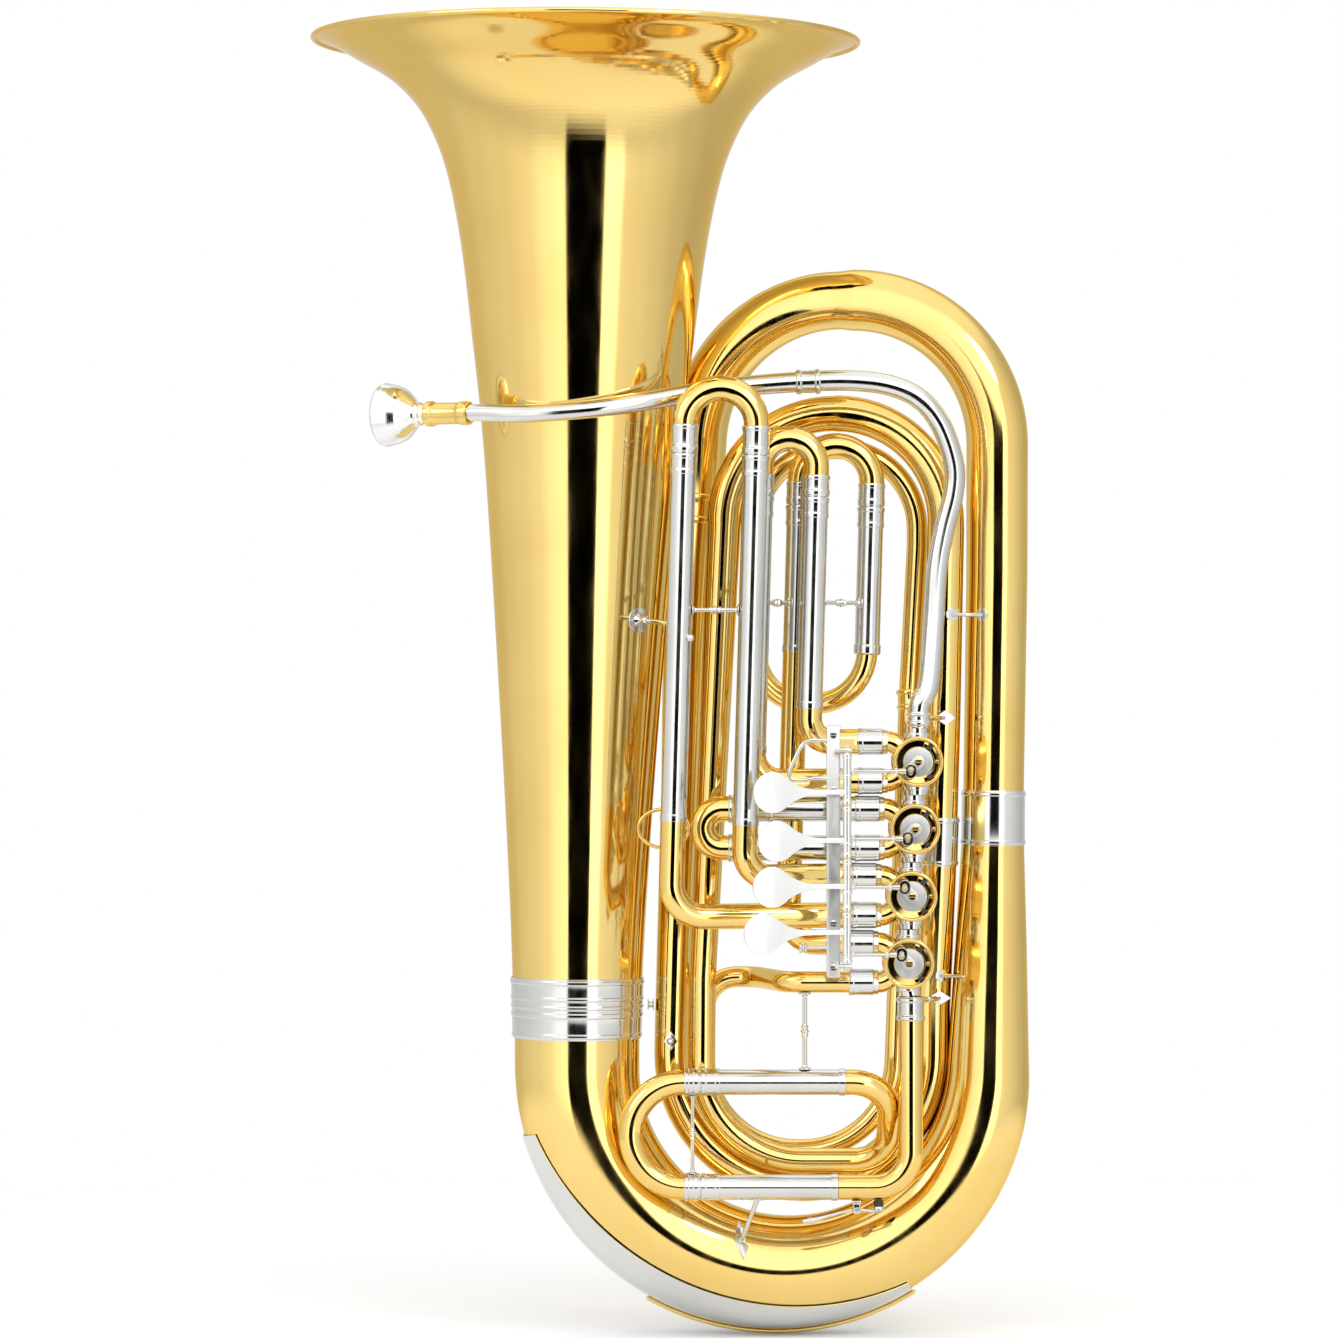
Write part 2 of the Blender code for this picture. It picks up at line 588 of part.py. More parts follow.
def make_lever_rail():
    """The fixed rail behind the paddles, its two feet, and the tabs that hold the axle."""
    low_z, high_z = 266.6, 447.8
    rail = box("lever_rail", (35.0, -99.3, low_z), (45.0, -96.3, high_z), NICKEL)
    bottom = HINGE_TOP_Z - 3 * HINGE_PITCH - HINGE_LENGTH
    tabs = [box("tab", (41.0, -109.5, HINGE_TOP_Z + 0.8), (53.0, -96.8, HINGE_TOP_Z + 3.8), NICKEL),
            box("tab", (41.0, -109.5, bottom - 3.8), (53.0, -96.8, bottom - 0.8), NICKEL)]
    x1, z1 = valve_centre(1)
    x4, z4 = valve_centre(4)
    feet = [rod("foot", (40, -97.5, z1 + PORT_RISE), (40, -71.6, z1 + PORT_RISE), 2.6, NICKEL, sides=10),
            rod("foot", (40, -97.5, z4 + PORT_RISE), (40, -61, z4 + PORT_RISE), 2.6, NICKEL, sides=10)]
    combine(rail, tabs + feet, "UNION")
    rod("lever_axle", (LEVER_X, LEVER_Y, bottom - 0.5), (LEVER_X, LEVER_Y, HINGE_TOP_Z + 0.5), AXLE_R,
        NICKEL, sides=10)


# Valve slides --------------------------------------------------------------

class Slide:
    """A pair of parallel legs. Its mouth is the middle of the open ends of the outer tubes."""

    def __init__(self, mouth, along, across, half, ferrule, straight, inner):
        self.mouth = Vector(mouth)
        self.along = Vector(along)
        self.across = Vector(across)
        self.half = half
        self.ferrule = ferrule
        self.straight = straight
        self.inner = inner

    def point(self, side, travel, radius):
        place = self.mouth + self.across * self.half * side + self.along * travel
        return (*place, radius)

    def leg_x(self, side, height):
        """Where an upright leg passes a height."""
        place = self.mouth + self.across * self.half * side
        return place.x + self.along.x / self.along.z * (height - place.z)


def upright(number, x, mouth_z, half, ferrule, straight, inner):
    along = Vector((math.sin(SLIDE_LEAN), 0, math.cos(SLIDE_LEAN)))
    across = Vector((along.z, 0, -along.x))
    return Slide((x, SLIDE_Y[number], mouth_z), along, across, half, ferrule, straight, inner)


SLIDES = {
    1: upright(1, 8.0, 612.8, 20.0, 16.0, 21.8, 90.0),
    2: Slide((-18.0, PORT_Y, VALVE_Z + VALVE_STEP_Z), (-1, 0, 0), (0, 0, 1), PORT_RISE, 17.0, 21.4, 70.0),
    3: upright(3, -41.5, 642.4, 25.9, 21.0, 17.6, 110.0),
    4: upright(4, 43.3, 606.9, 26.1, 17.0, 14.4, 90.0),
}
MAIN_SLIDE = Slide((MAIN_MOUTH_X, PORT_Y, (MAIN_UPPER_Z + MAIN_LOWER_Z) / 2), (-1, 0, 0), (0, 0, 1),
                   (MAIN_UPPER_Z - MAIN_LOWER_Z) / 2, 12.0, 12.8, 85.0)


def slide_bow(name, slide, pieces=6):
    """The moving part of a slide: two inner legs, two ferrules and the bow between them."""
    leg = [(-slide.inner, INNER_R), (GAP, INNER_R), (GAP + 0.2, FERRULE_R), (slide.ferrule, FERRULE_R),
           (slide.ferrule + 0.4, SLIDE_R)]
    path = [slide.point(-1, travel, radius) for travel, radius in leg]
    for index in range(pieces + 1):
        angle = math.pi * index / pieces
        side = -math.cos(angle)
        travel = max(slide.straight, slide.ferrule + 0.8) + slide.half * math.sin(angle)
        path.append(slide.point(side, travel, SLIDE_R))
    path += [slide.point(1, travel, radius) for travel, radius in reversed(leg)]
    tube(name, path, BRASS, wall=0.7, origin=slide.mouth)


def port_end(number, side):
    x, z = valve_centre(number)
    return x - PORT_REACH - GAP, z + side * PORT_RISE


def upright_tube(name, number, side, port_side, bend, turn_x):
    """An outer slide tube: down the leg, round an elbow, and right to its valve port."""
    slide = SLIDES[number]
    end_x, level = port_end(number, port_side)
    y = SLIDE_Y[number]
    corners = [slide.point(side, 0, SLIDE_R), (slide.leg_x(side, level), y, level, SLIDE_R, bend),
               (turn_x, PORT_Y, level, SLIDE_R, 22.0), (end_x, PORT_Y, level, SLIDE_R)]
    tube(name, route(corners), BRASS)


def make_slides():
    upright_tube("slide_1_upper_tube", 1, 1, 1, 17.0, 56.0)
    upright_tube("slide_1_lower_tube", 1, -1, -1, 20.0, 48.0)
    upright_tube("slide_3_upper_tube", 3, 1, 1, 20.0, 44.0)
    upright_tube("slide_3_lower_tube", 3, -1, -1, 24.0, 40.0)
    upright_tube("slide_4_upper_tube", 4, -1, 1, 22.0, 52.0)
    for side, word in ((1, "upper"), (-1, "lower")):
        end_x, level = port_end(2, side)
        tube(f"slide_2_{word}_tube", [(SLIDES[2].mouth.x, PORT_Y, level, SLIDE_R),
                                      (end_x, PORT_Y, level, SLIDE_R)], NICKEL)
    right = SLIDES[4]
    foot = LOOP_START_Z - right.mouth.z
    tube("slide_4_lower_tube", [right.point(1, 0, SLIDE_R), right.point(1, foot + GAP, SLIDE_R)], NICKEL)
    for number in VALVES:
        slide_bow(f"slide_{number}_bow", SLIDES[number])
    half_x, half_z = PULL_RING_HALF
    middle = SLIDES[2].mouth + Vector((-PULL_RING_REACH, -2, 0))
    oval = [(middle.x + half_x * math.cos(a), middle.y, middle.z + half_z * math.sin(a), 1.2)
            for a in (math.tau * i / 16 for i in range(16))]
    ring = tube("slide_2_pull_ring", oval, BRASS, wall=None, detail=1, origin=SLIDES[2].mouth)
    ring.data.splines[0].use_cyclic_u = True
    ring.data.use_fill_caps = False


def make_fourth_loop():
    """The fourth valve's extra tubing: a turn, an arc at the top, a bow at the bottom."""
    slide = SLIDES[4]
    start = slide.point(1, LOOP_START_Z - slide.mouth.z, LOOP_R)
    upper = route([start, (65.8, SLIDE_Y[4], 463, LOOP_R, 39), (-14.0, -2, 463, LOOP_R, 39),
                   (-14.9, -2, 649.8, LOOP_R, 58.5), (104.4, 0, 649.8, LOOP_R, 58.5),
                   (104.3, 0, 578, LOOP_R), (98.6, 5, 465 + GAP, LOOP_R)])
    tube("fourth_loop_upper", upper, BRASS)
    end_x, level = port_end(4, -1)
    lower = route([(98.6, 5, 465, LOOP_R), (90.3, 18, 243.7, LOOP_R), (86.4, 20, 133.2, LOOP_R, 68),
                   (-51.7, 20, 133.2, LOOP_R, 68), (-51.7, 20, level, LOOP_R, 24),
                   (-14, 17, level, LOOP_R, 18), (8, PORT_Y, level, LOOP_R, 18),
                   (end_x, PORT_Y, level, LOOP_R)])
    tube("fourth_loop_lower", lower, BRASS)


# Main slide and small pieces -----------------------------------------------

def make_main_slide():
    upper_end = (50.0, PORT_Y, MAIN_UPPER_Z, SLIDE_R)
    lower_end = (44.5, PORT_Y, MAIN_LOWER_Z, SLIDE_R)
    tube("main_slide_upper_tube", [MAIN_SLIDE.point(1, 0, SLIDE_R), upper_end], NICKEL)
    tube("main_slide_lower_tube", [MAIN_SLIDE.point(-1, 0, SLIDE_R), lower_end], NICKEL)
    slide_bow("main_slide_bow", MAIN_SLIDE, pieces=8)
    x, z = valve_centre(4)
    top = z + VALVE_STEP_Z / 2 - GAP
    outlet = route([(44.8, PORT_Y, MAIN_LOWER_Z, SLIDE_R), (OUTLET_X, PORT_Y, MAIN_LOWER_Z, SLIDE_R, 26),
                    (OUTLET_X, PORT_Y, top, SLIDE_R)])
    tube("valve_outlet_tube", outlet, BRASS)


def make_water_key():
    """A sprung lever under the outlet elbow, on a saddle with its pivot pin."""
    under = MAIN_LOWER_Z - SLIDE_R - GAP
    saddle = box("water_key_saddle", (KEY_X - 3, PORT_Y - 5.0, under - 2.2), (KEY_X + 3, PORT_Y + 5.0, under),
                 NICKEL)
    cheeks = [box("cheek", (KEY_X - 2.5, PORT_Y + y, KEY_Z - 2.5), (KEY_X + 2.5, PORT_Y + y + 1.4, under - 1),
                  NICKEL) for y in (-5.0, 3.6)]
    pin = rod("pivot", (KEY_X, PORT_Y - 6.0, KEY_Z), (KEY_X, PORT_Y + 6.0, KEY_Z), 0.9, NICKEL, sides=10)
    combine(saddle, cheeks + [pin], "UNION")
    hub = turned("water_key", [(2.4, 3.2), (2.4, -3.2), (1.2, -3.2), (1.2, 3.2)], NICKEL, steps=12,
                 matrix=facing_front(KEY_X, PORT_Y, KEY_Z))
    finger = tube("finger", [(KEY_X - 1.8, PORT_Y, KEY_Z, 1.3), (KEY_X - 20, PORT_Y, KEY_Z - 4.5, 1.3),
                             (KEY_X - 34, PORT_Y, KEY_Z - 8, 2.2), (KEY_X - 38, PORT_Y, KEY_Z - 8.4, 1.2)],
                  NICKEL, wall=None)
    nose = tube("nose", [(KEY_X + 1.8, PORT_Y, KEY_Z, 1.3), (KEY_X + 15, PORT_Y, KEY_Z - 0.6, 1.5)],
                NICKEL, wall=None)
    cup = rod("cup", (KEY_X + 16, PORT_Y, KEY_Z - 2.0), (KEY_X + 16, PORT_Y, under - 0.1), 3.6, NICKEL)
    set_origin(combine(hub, [finger, nose, cup], "UNION"), (KEY_X, PORT_Y, KEY_Z))


def stay(name, start, end, radius=2.0, foot=4.0):
    """A rod between two tubes with a round foot at each end."""
    start, end = Vector(start), Vector(end)
    length = (end - start).length
    thick = min(1.2, length / 5)
    profile = [(0, length), (foot, length), (foot, length - thick), (radius, length - 2 * thick),
               (radius, 2 * thick), (foot, thick), (foot, 0), (0, 0)]
    turned(name, profile, NICKEL, steps=12, closed=False, matrix=frame_at(start, end - start))


def make_stays():
    """Stays that hold the tubes to each other."""
    main_top = MAIN_UPPER_Z + SLIDE_R + GAP
    x, z = valve_centre(4)
    stay("main_slide_stay", (20.5, PORT_Y, main_top), (20.5, PORT_Y, z - PORT_RISE - LOOP_R - GAP))
    stay("bell_stay", (-93.7, 8, 241), (-89.0, 8, 241))


def main():
    bpy.context.scene.collection.children.link(tuba)
    make_bell()
    make_bottom_bow()
    make_bow_guard()
    make_branches()
    make_ferrules()
    make_leadpipe()
    make_receiver()
    make_mouthpiece()
    for number in VALVES:
        make_casing(number)
        make_rotor(number)
        make_back_cap(number)
        make_lever(number)
        make_link(number)
    make_lever_rail()
    make_slides()
    make_fourth_loop()
    make_main_slide()
    make_water_key()
    make_stays()


main()
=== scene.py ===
"""The finished looks of a four-valve rotary tuba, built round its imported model.

Lengths below are in millimetres, in the model's own frame: +Z is up along the bell, -Y is the
front, and the origin is the lowest point of the rail under the bottom bow. Each piece is a
finer version of a node, or a small part that the nodes leave out.
"""
import json
import math

import bmesh
import bpy
from mathutils import Matrix, Vector


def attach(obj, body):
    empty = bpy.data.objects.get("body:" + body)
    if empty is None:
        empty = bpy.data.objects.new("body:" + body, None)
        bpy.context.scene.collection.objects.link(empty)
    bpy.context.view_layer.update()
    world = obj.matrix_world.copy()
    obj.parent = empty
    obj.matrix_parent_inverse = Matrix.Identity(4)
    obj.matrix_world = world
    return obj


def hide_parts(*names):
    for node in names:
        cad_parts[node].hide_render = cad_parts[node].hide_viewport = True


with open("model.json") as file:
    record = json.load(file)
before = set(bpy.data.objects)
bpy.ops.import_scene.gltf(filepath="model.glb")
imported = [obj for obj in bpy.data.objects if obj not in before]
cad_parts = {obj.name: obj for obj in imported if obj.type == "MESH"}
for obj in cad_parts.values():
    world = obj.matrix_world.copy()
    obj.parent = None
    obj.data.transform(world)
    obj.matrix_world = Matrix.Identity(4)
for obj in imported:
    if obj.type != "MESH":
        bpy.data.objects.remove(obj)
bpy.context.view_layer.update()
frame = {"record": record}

MM = 0.001
BODY = "tuba_body"
BRASS = "lacquered_brass"
NICKEL = "nickel_silver"
SILVER = "silver_plate"
CORK = "cork"
JOINTS = {joint["name"]: joint for joint in frame["record"]["behaviour"]["joints"]}


def joint_place(name):
    """Where a hinge's axis passes, in millimetres."""
    return Vector(JOINTS[name]["pos_m"]) / MM


# Shapes --------------------------------------------------------------------

def frame_at(place, axis, up="Y"):
    """A matrix with its Z along axis and its origin at place."""
    turn = Vector(axis).to_track_quat("Z", up).to_matrix().to_4x4()
    return Matrix.Translation(Vector(place)) @ turn


def facing_front(x, y, z):
    """Local Z points to the front and local Y points up."""
    return Matrix.Translation(Vector((x, y, z))) @ Matrix.Rotation(math.pi / 2, 4, "X")


def route(corners, step=5.0):
    """Points (x, y, z, radius) along straight runs with round bends at the corners.

    A corner is (x, y, z, tube radius) with a fifth number, the bend's radius, where it turns."""
    path = [tuple(corners[0][:4])]
    for before, corner, after in zip(corners, corners[1:], corners[2:]):
        here = Vector(corner[:3])
        back = (Vector(before[:3]) - here).normalized()
        ahead = (Vector(after[:3]) - here).normalized()
        turn = math.pi - back.angle(ahead)
        if len(corner) < 5 or turn < 0.01:
            path.append(tuple(corner[:4]))
            continue
        bend = corner[4]
        tangent = bend * math.tan(turn / 2)
        centre = here + (back + ahead).normalized() * (bend / math.cos(turn / 2))
        first = here + back * tangent - centre
        last = here + ahead * tangent - centre
        pieces = max(2, round(math.degrees(turn) / step))
        for index in range(pieces + 1):
            share = index / pieces
            point = first * math.sin((1 - share) * turn) + last * math.sin(share * turn)
            path.append((*(centre + point / math.sin(turn)), corner[3]))
    path.append(tuple(corners[-1][:4]))
    return path


def flowing(points, pieces=6):
    """A smooth curve through points of any length, as more points of the same kind."""
    ends = [points[0], *points, points[-1]]
    path = []
    for a, b, c, d in zip(ends, ends[1:], ends[2:], ends[3:]):
        for index in range(pieces):
            t = index / pieces
            path.append(tuple(
                0.5 * (2 * q + (r - p) * t + (2 * p - 5 * q + 4 * r - s) * t * t
                       + (3 * q - p - 3 * r + s) * t * t * t)
                for p, q, r, s in zip(a, b, c, d)))
    path.append(tuple(points[-1]))
    return path


def soften(profile, radius, closed=False, pieces=3):
    """Round the corners of a flat outline."""
    count = len(profile)
    result = []
    for index, corner in enumerate(profile):
        if not closed and index in (0, count - 1):
            result.append(corner)
            continue
        here = Vector(corner)
        back = Vector(profile[index - 1]) - here
        ahead = Vector(profile[(index + 1) % count]) - here
        reach = min(radius, 0.45 * back.length, 0.45 * ahead.length)
        start = here + back.normalized() * reach
        end = here + ahead.normalized() * reach
        for piece in range(pieces + 1):
            t = piece / pieces
            result.append(tuple(start * (1 - t) ** 2 + here * (2 * t * (1 - t)) + end * t * t))
    return result


def circle(radius, count, first=0.0, last=360.0):
    """Points on a circle or on an arc of it."""
    parts = count if last - first >= 360 else count - 1
    angles = [math.radians(first + (last - first) * i / parts) for i in range(count)]
    return [(radius * math.cos(a), radius * math.sin(a)) for a in angles]


def tube_rings(path, sides, thinner=0.0):
    """Rings of points round (x, y, z, radius) points, each square to the way that the path takes."""
    points = [Vector(point[:3]) for point in path]
    ways = [(b - a).normalized() for a, b in zip(points, points[1:])]
    ways = [ways[0], *[(a + b).normalized() for a, b in zip(ways, ways[1:])], ways[-1]]
    side = ways[0].orthogonal().normalized()
    rings = []
    for point, along, (_, _, _, radius) in zip(points, ways, path):
        side = (side - along * side.dot(along)).normalized()
        up = along.cross(side)
        rings.append([point + side * x + up * y for x, y in circle(radius - thinner, sides)])
    return rings


class Shape:
    """Closed shapes that together make one piece."""

    def __init__(self):
        self.mesh = bmesh.new()

    def loft(self, rings, closed=False):
        """Faces between rings of points, with flat ends unless the last ring joins the first."""
        rows = [[self.mesh.verts.new(Vector(point) * MM) for point in ring] for ring in rings]
        pairs = list(zip(rows, rows[1:]))
        if closed:
            pairs.append((rows[-1], rows[0]))
        for low, high in pairs:
            for index in range(len(low)):
                after = (index + 1) % len(low)
                self.mesh.faces.new((low[index], low[after], high[after], high[index]))
        if not closed:
            self.mesh.faces.new(rows[0][::-1])
            self.mesh.faces.new(rows[-1])
        return self

    def pipe(self, path, wall=0.8, sides=32):
        """A round tube with a bore, or a solid rod where wall is None."""
        rings = tube_rings(path, sides)
        if wall is None:
            return self.loft(rings)
        return self.loft(rings + tube_rings(path, sides, wall)[::-1], closed=True)

    def loop(self, path, sides=12):
        """A round wire whose ends meet."""
        rings = tube_rings([*path, path[0]], sides)[:-1]
        return self.loft(rings, closed=True)

    def turned(self, profile, matrix, sides=48, soft=0.3, closed=True):
        """Turn (radius, height) points about the matrix's Z. An open profile gets flat ends."""
        profile = soften(profile, soft, closed)
        rings = [[matrix @ Vector((x, y, height)) for x, y in circle(radius, sides)]
                 for radius, height in profile]
        return self.loft(rings, closed)

    def rod(self, start, end, radius, sides=20, soft=0.25):
        start, end = Vector(start), Vector(end)
        length = (end - start).length
        profile = [(0.05, length), (radius, length), (radius, 0), (0.05, 0)]
        return self.turned(profile, frame_at(start, end - start), sides, soft, closed=False)

    def ball(self, place, radius, sides=20):
        rings = [(radius * math.sin(a), radius * math.cos(a))
                 for a in (math.pi * (0.02 + 0.96 * i / 12) for i in range(13))]
        return self.turned(rings, Matrix.Translation(Vector(place)), sides, 0.01, closed=False)

    def _take(self, shape, bevel, matrix, sharp=math.radians(40)):
        if bevel:
            edges = [edge for edge in shape.edges if edge.calc_face_angle(0) > sharp]
            bmesh.ops.bevel(shape, geom=edges, offset=bevel, segments=3, profile=0.5, affect="EDGES",
                            clamp_overlap=True)
        shape.transform(Matrix.Scale(MM, 4) @ (matrix or Matrix.Identity(4)))
        mesh = bpy.data.meshes.new("part")
        shape.to_mesh(mesh)
        shape.free()
        self.mesh.from_mesh(mesh)
        bpy.data.meshes.remove(mesh)
        return self

    def box(self, low, high, bevel=0.4, matrix=None):
        shape = bmesh.new()
        bmesh.ops.create_cube(shape, size=1)
        low, high = Vector(low), Vector(high)
        bmesh.ops.scale(shape, vec=high - low, verts=shape.verts)
        bmesh.ops.translate(shape, vec=(low + high) / 2, verts=shape.verts)
        return self._take(shape, bevel, matrix)

    def plate(self, outline, thickness, bevel=0.3, matrix=None):
        """A flat outline in local XY, as thick each side of it."""
        shape = bmesh.new()
        face = shape.faces.new([shape.verts.new((x, y, -thickness / 2)) for x, y in outline])
        grown = bmesh.ops.extrude_face_region(shape, geom=[face])
        top = [item for item in grown["geom"] if isinstance(item, bmesh.types.BMVert)]
        bmesh.ops.translate(shape, vec=(0, 0, thickness), verts=top)
        bmesh.ops.recalc_face_normals(shape, faces=shape.faces)
        return self._take(shape, bevel, matrix)

    def make(self, name, slot, body=BODY, nodes=(), finish=None, sharp=34.0):
        """Turn the shapes into one piece that rides on a body and stands for nodes."""
        bmesh.ops.recalc_face_normals(self.mesh, faces=self.mesh.faces)
        mesh = bpy.data.meshes.new(name)
        self.mesh.to_mesh(mesh)
        self.mesh.free()
        mesh.materials.append(MATERIALS[finish or slot])
        mesh.shade_smooth()
        mesh.set_sharp_from_angle(angle=math.radians(sharp))
        piece = bpy.data.objects.new(name, mesh)
        bpy.context.scene.collection.objects.link(piece)
        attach(piece, body)
        if nodes:
            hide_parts(*nodes)
        return piece


# Materials -----------------------------------------------------------------

def metal(name, pale, deep, smooth, rough, scale, coat=0.0, bump=0.06, edge=(1, 1, 1, 1)):
    """Polished metal: two near tones in soft patches, faint wipe marks in the gloss, fine ripples."""
    material = bpy.data.materials.new(name)
    material.use_nodes = True
    nodes, links = material.node_tree.nodes, material.node_tree.links
    shader = nodes["Principled BSDF"]
    shader.inputs["Metallic"].default_value = 1.0
    shader.inputs["Coat Weight"].default_value = coat
    shader.inputs["Coat Roughness"].default_value = 0.06
    shader.inputs["Specular Tint"].default_value = edge
    place = nodes.new("ShaderNodeTexCoord").outputs["Object"]

    def noise(size, detail, stretch=(1, 1, 1)):
        scaled = nodes.new("ShaderNodeMapping")
        scaled.inputs["Scale"].default_value = stretch
        links.new(place, scaled.inputs["Vector"])
        texture = nodes.new("ShaderNodeTexNoise")
        texture.inputs["Scale"].default_value = size
        texture.inputs["Detail"].default_value = detail
        links.new(scaled.outputs["Vector"], texture.inputs["Vector"])
        return texture.outputs["Fac"]

    def ramp(source, low, high, start, end):
        node = nodes.new("ShaderNodeValToRGB")
        node.color_ramp.elements[0].position = start
        node.color_ramp.elements[1].position = end
        node.color_ramp.elements[0].color = low
        node.color_ramp.elements[1].color = high
        links.new(source, node.inputs["Fac"])
        return node.outputs["Color"]

    links.new(ramp(noise(scale, 3), deep, pale, 0.3, 0.62), shader.inputs["Base Color"])
    wipes = noise(scale * 9, 6, (1, 1, 0.25))
    links.new(ramp(wipes, (smooth,) * 3 + (1,), (rough,) * 3 + (1,), 0.35, 0.75),
              shader.inputs["Roughness"])
    relief = nodes.new("ShaderNodeBump")
    relief.inputs["Strength"].default_value = bump
    relief.inputs["Distance"].default_value = 0.0004
    links.new(noise(scale * 3.5, 2), relief.inputs["Height"])
    links.new(relief.outputs["Normal"], shader.inputs["Normal"])
    return material


def black_cork(name):
    """Dense black cork: dull, with small pale and dark grains."""
    material = bpy.data.materials.new(name)
    material.use_nodes = True
    nodes, links = material.node_tree.nodes, material.node_tree.links
    shader = nodes["Principled BSDF"]
    shader.inputs["Roughness"].default_value = 0.75
    place = nodes.new("ShaderNodeTexCoord").outputs["Object"]
    grain = nodes.new("ShaderNodeTexVoronoi")
    grain.inputs["Scale"].default_value = 1400
    links.new(place, grain.inputs["Vector"])
    tone = nodes.new("ShaderNodeValToRGB")
    tone.color_ramp.elements[0].color = (0.012, 0.011, 0.010, 1)
    tone.color_ramp.elements[1].color = (0.05, 0.045, 0.04, 1)
    links.new(grain.outputs["Distance"], tone.inputs["Fac"])
    links.new(tone.outputs["Color"], shader.inputs["Base Color"])
    relief = nodes.new("ShaderNodeBump")
    relief.inputs["Strength"].default_value = 0.4
    relief.inputs["Distance"].default_value = 0.0002
    links.new(grain.outputs["Distance"], relief.inputs["Height"])
    links.new(relief.outputs["Normal"], shader.inputs["Normal"])
    return material


SATIN = "satin_nickel"
MATERIALS = {
    BRASS: metal("brass_lacquer", (0.86, 0.63, 0.22, 1), (0.82, 0.57, 0.18, 1), 0.06, 0.12, 11.0, coat=0.15,
                 edge=(0.95, 0.78, 0.45, 1)),
    SATIN: metal("satin_nickel", (0.72, 0.72, 0.70, 1), (0.65, 0.65, 0.63, 1), 0.30, 0.40, 30.0, bump=0.12),
    NICKEL: metal("nickel", (0.70, 0.70, 0.68, 1), (0.63, 0.63, 0.61, 1), 0.09, 0.17, 16.0),
    SILVER: metal("silver", (0.86, 0.86, 0.85, 1), (0.81, 0.81, 0.80, 1), 0.12, 0.22, 20.0),
    CORK: black_cork("black_cork"),
}

# Bell and bows -------------------------------------------------------------

BELL_X = -145.6
BELL_FOOT_Z = 219.0
BELL_LEAN = math.radians(0.5)
BELL_WALL = 0.8
BELL_SECTIONS = [          # height above the foot, radius
    (0.0, 46.2), (99.0, 50.3), (246.0, 59.2), (420.0, 71.5), (518.0, 82.3), (584.0, 91.0),
    (634.0, 101.5), (666.0, 114.0), (686.5, 127.5), (703.0, 145.5), (716.5, 169.0), (726.2, 186.5),
    (730.0, 198.6)]
RIM_BEAD = 1.9
RIM_RADIUS = 200.0
RIM_HEIGHT = 730.5

BOW_X = 5.5
BOW_BEND = 151.0
BOW_BOTTOM_R = 40.8
BOW_Z = BOW_BEND + BOW_BOTTOM_R + 5.0      # the guard and its rail are 5 mm thick together
RISER_X = 160.2
RISER_JOINT_Z = 379.0
RISER_R = 22.2
SECOND_JOINT_Z = 360.0
GUARD_LIFT = 0.7
GUARD_WRAP = math.radians(62)
RAIL_RADIUS = 1.6
LEADPIPE_Y = -49.0
PORT_Y = -55.0
MAIN_UPPER_Z = 188.4
MAIN_LOWER_Z = 112.3
SEAM = 0.2


def make_bell():
    outer = [(radius, height) for height, radius in flowing(BELL_SECTIONS, 8)]
    inner = [(radius - BELL_WALL, height + 0.25) for radius, height in reversed(outer)]
    bead = [(RIM_RADIUS + x * RIM_BEAD, RIM_HEIGHT + y * RIM_BEAD) for x, y in circle(1.0, 15, -130, 170)]
    matrix = Matrix.Translation(Vector((BELL_X, 0, BELL_FOOT_Z))) @ Matrix.Rotation(BELL_LEAN, 4, "Y")
    shape = Shape()
    shape.turned(outer + bead + inner[4:], matrix, sides=160, soft=0.05)
    shape.make("bell", BRASS, nodes=["bell"])


def banded_sleeve(name, start, end, inner, outer, bands, nodes=(), slot=NICKEL, body=BODY):
    """A ferrule with raised bands. Each band is its middle and width along the ferrule, from 0 to 1."""
    start, end = Vector(start), Vector(end)
    length = (end - start).length
    low = outer - 0.9
    profile = [(inner, 0), (low, 0)]
    for middle, width in bands:
        first, last = (middle - width / 2) * length, (middle + width / 2) * length
        profile += [(low, first), (outer, first + 0.5), (outer, last - 0.5), (low, last)]
    profile += [(low, length), (inner, length)]
    shape = Shape()
    shape.turned(profile, frame_at(start, end - start), sides=72, soft=0.5)
    return shape.make(name, slot, body, nodes)


def bow_radius(angle):
    """The bottom bow's tube radius at an angle about the bend's centre, from 180 to 360 degrees."""
    share = (angle - math.pi) / math.pi
    return 45.8 - 15.8 * share + 11.6 * share * (1 - share)


def bow_point(angle, reach):
    return BOW_X + reach * math.cos(angle), BOW_Z + reach * math.sin(angle)


def make_bottom_bow():
    pieces = 72
    path = [(BOW_X - BOW_BEND, 0, BELL_FOOT_Z - SEAM, 45.9)]
    for index in range(pieces + 1):
        angle = math.pi * (1 + index / pieces)
        x, z = bow_point(angle, BOW_BEND)
        path.append((x, 0, z, bow_radius(angle)))
    path.append((RISER_X - 1.6, 0, 288, 26.2))
    path.append((RISER_X, 0, RISER_JOINT_Z - SEAM, RISER_R))
    Shape().pipe(path, 0.9, sides=96).make("bottom_bow", BRASS, nodes=["bottom_bow"])


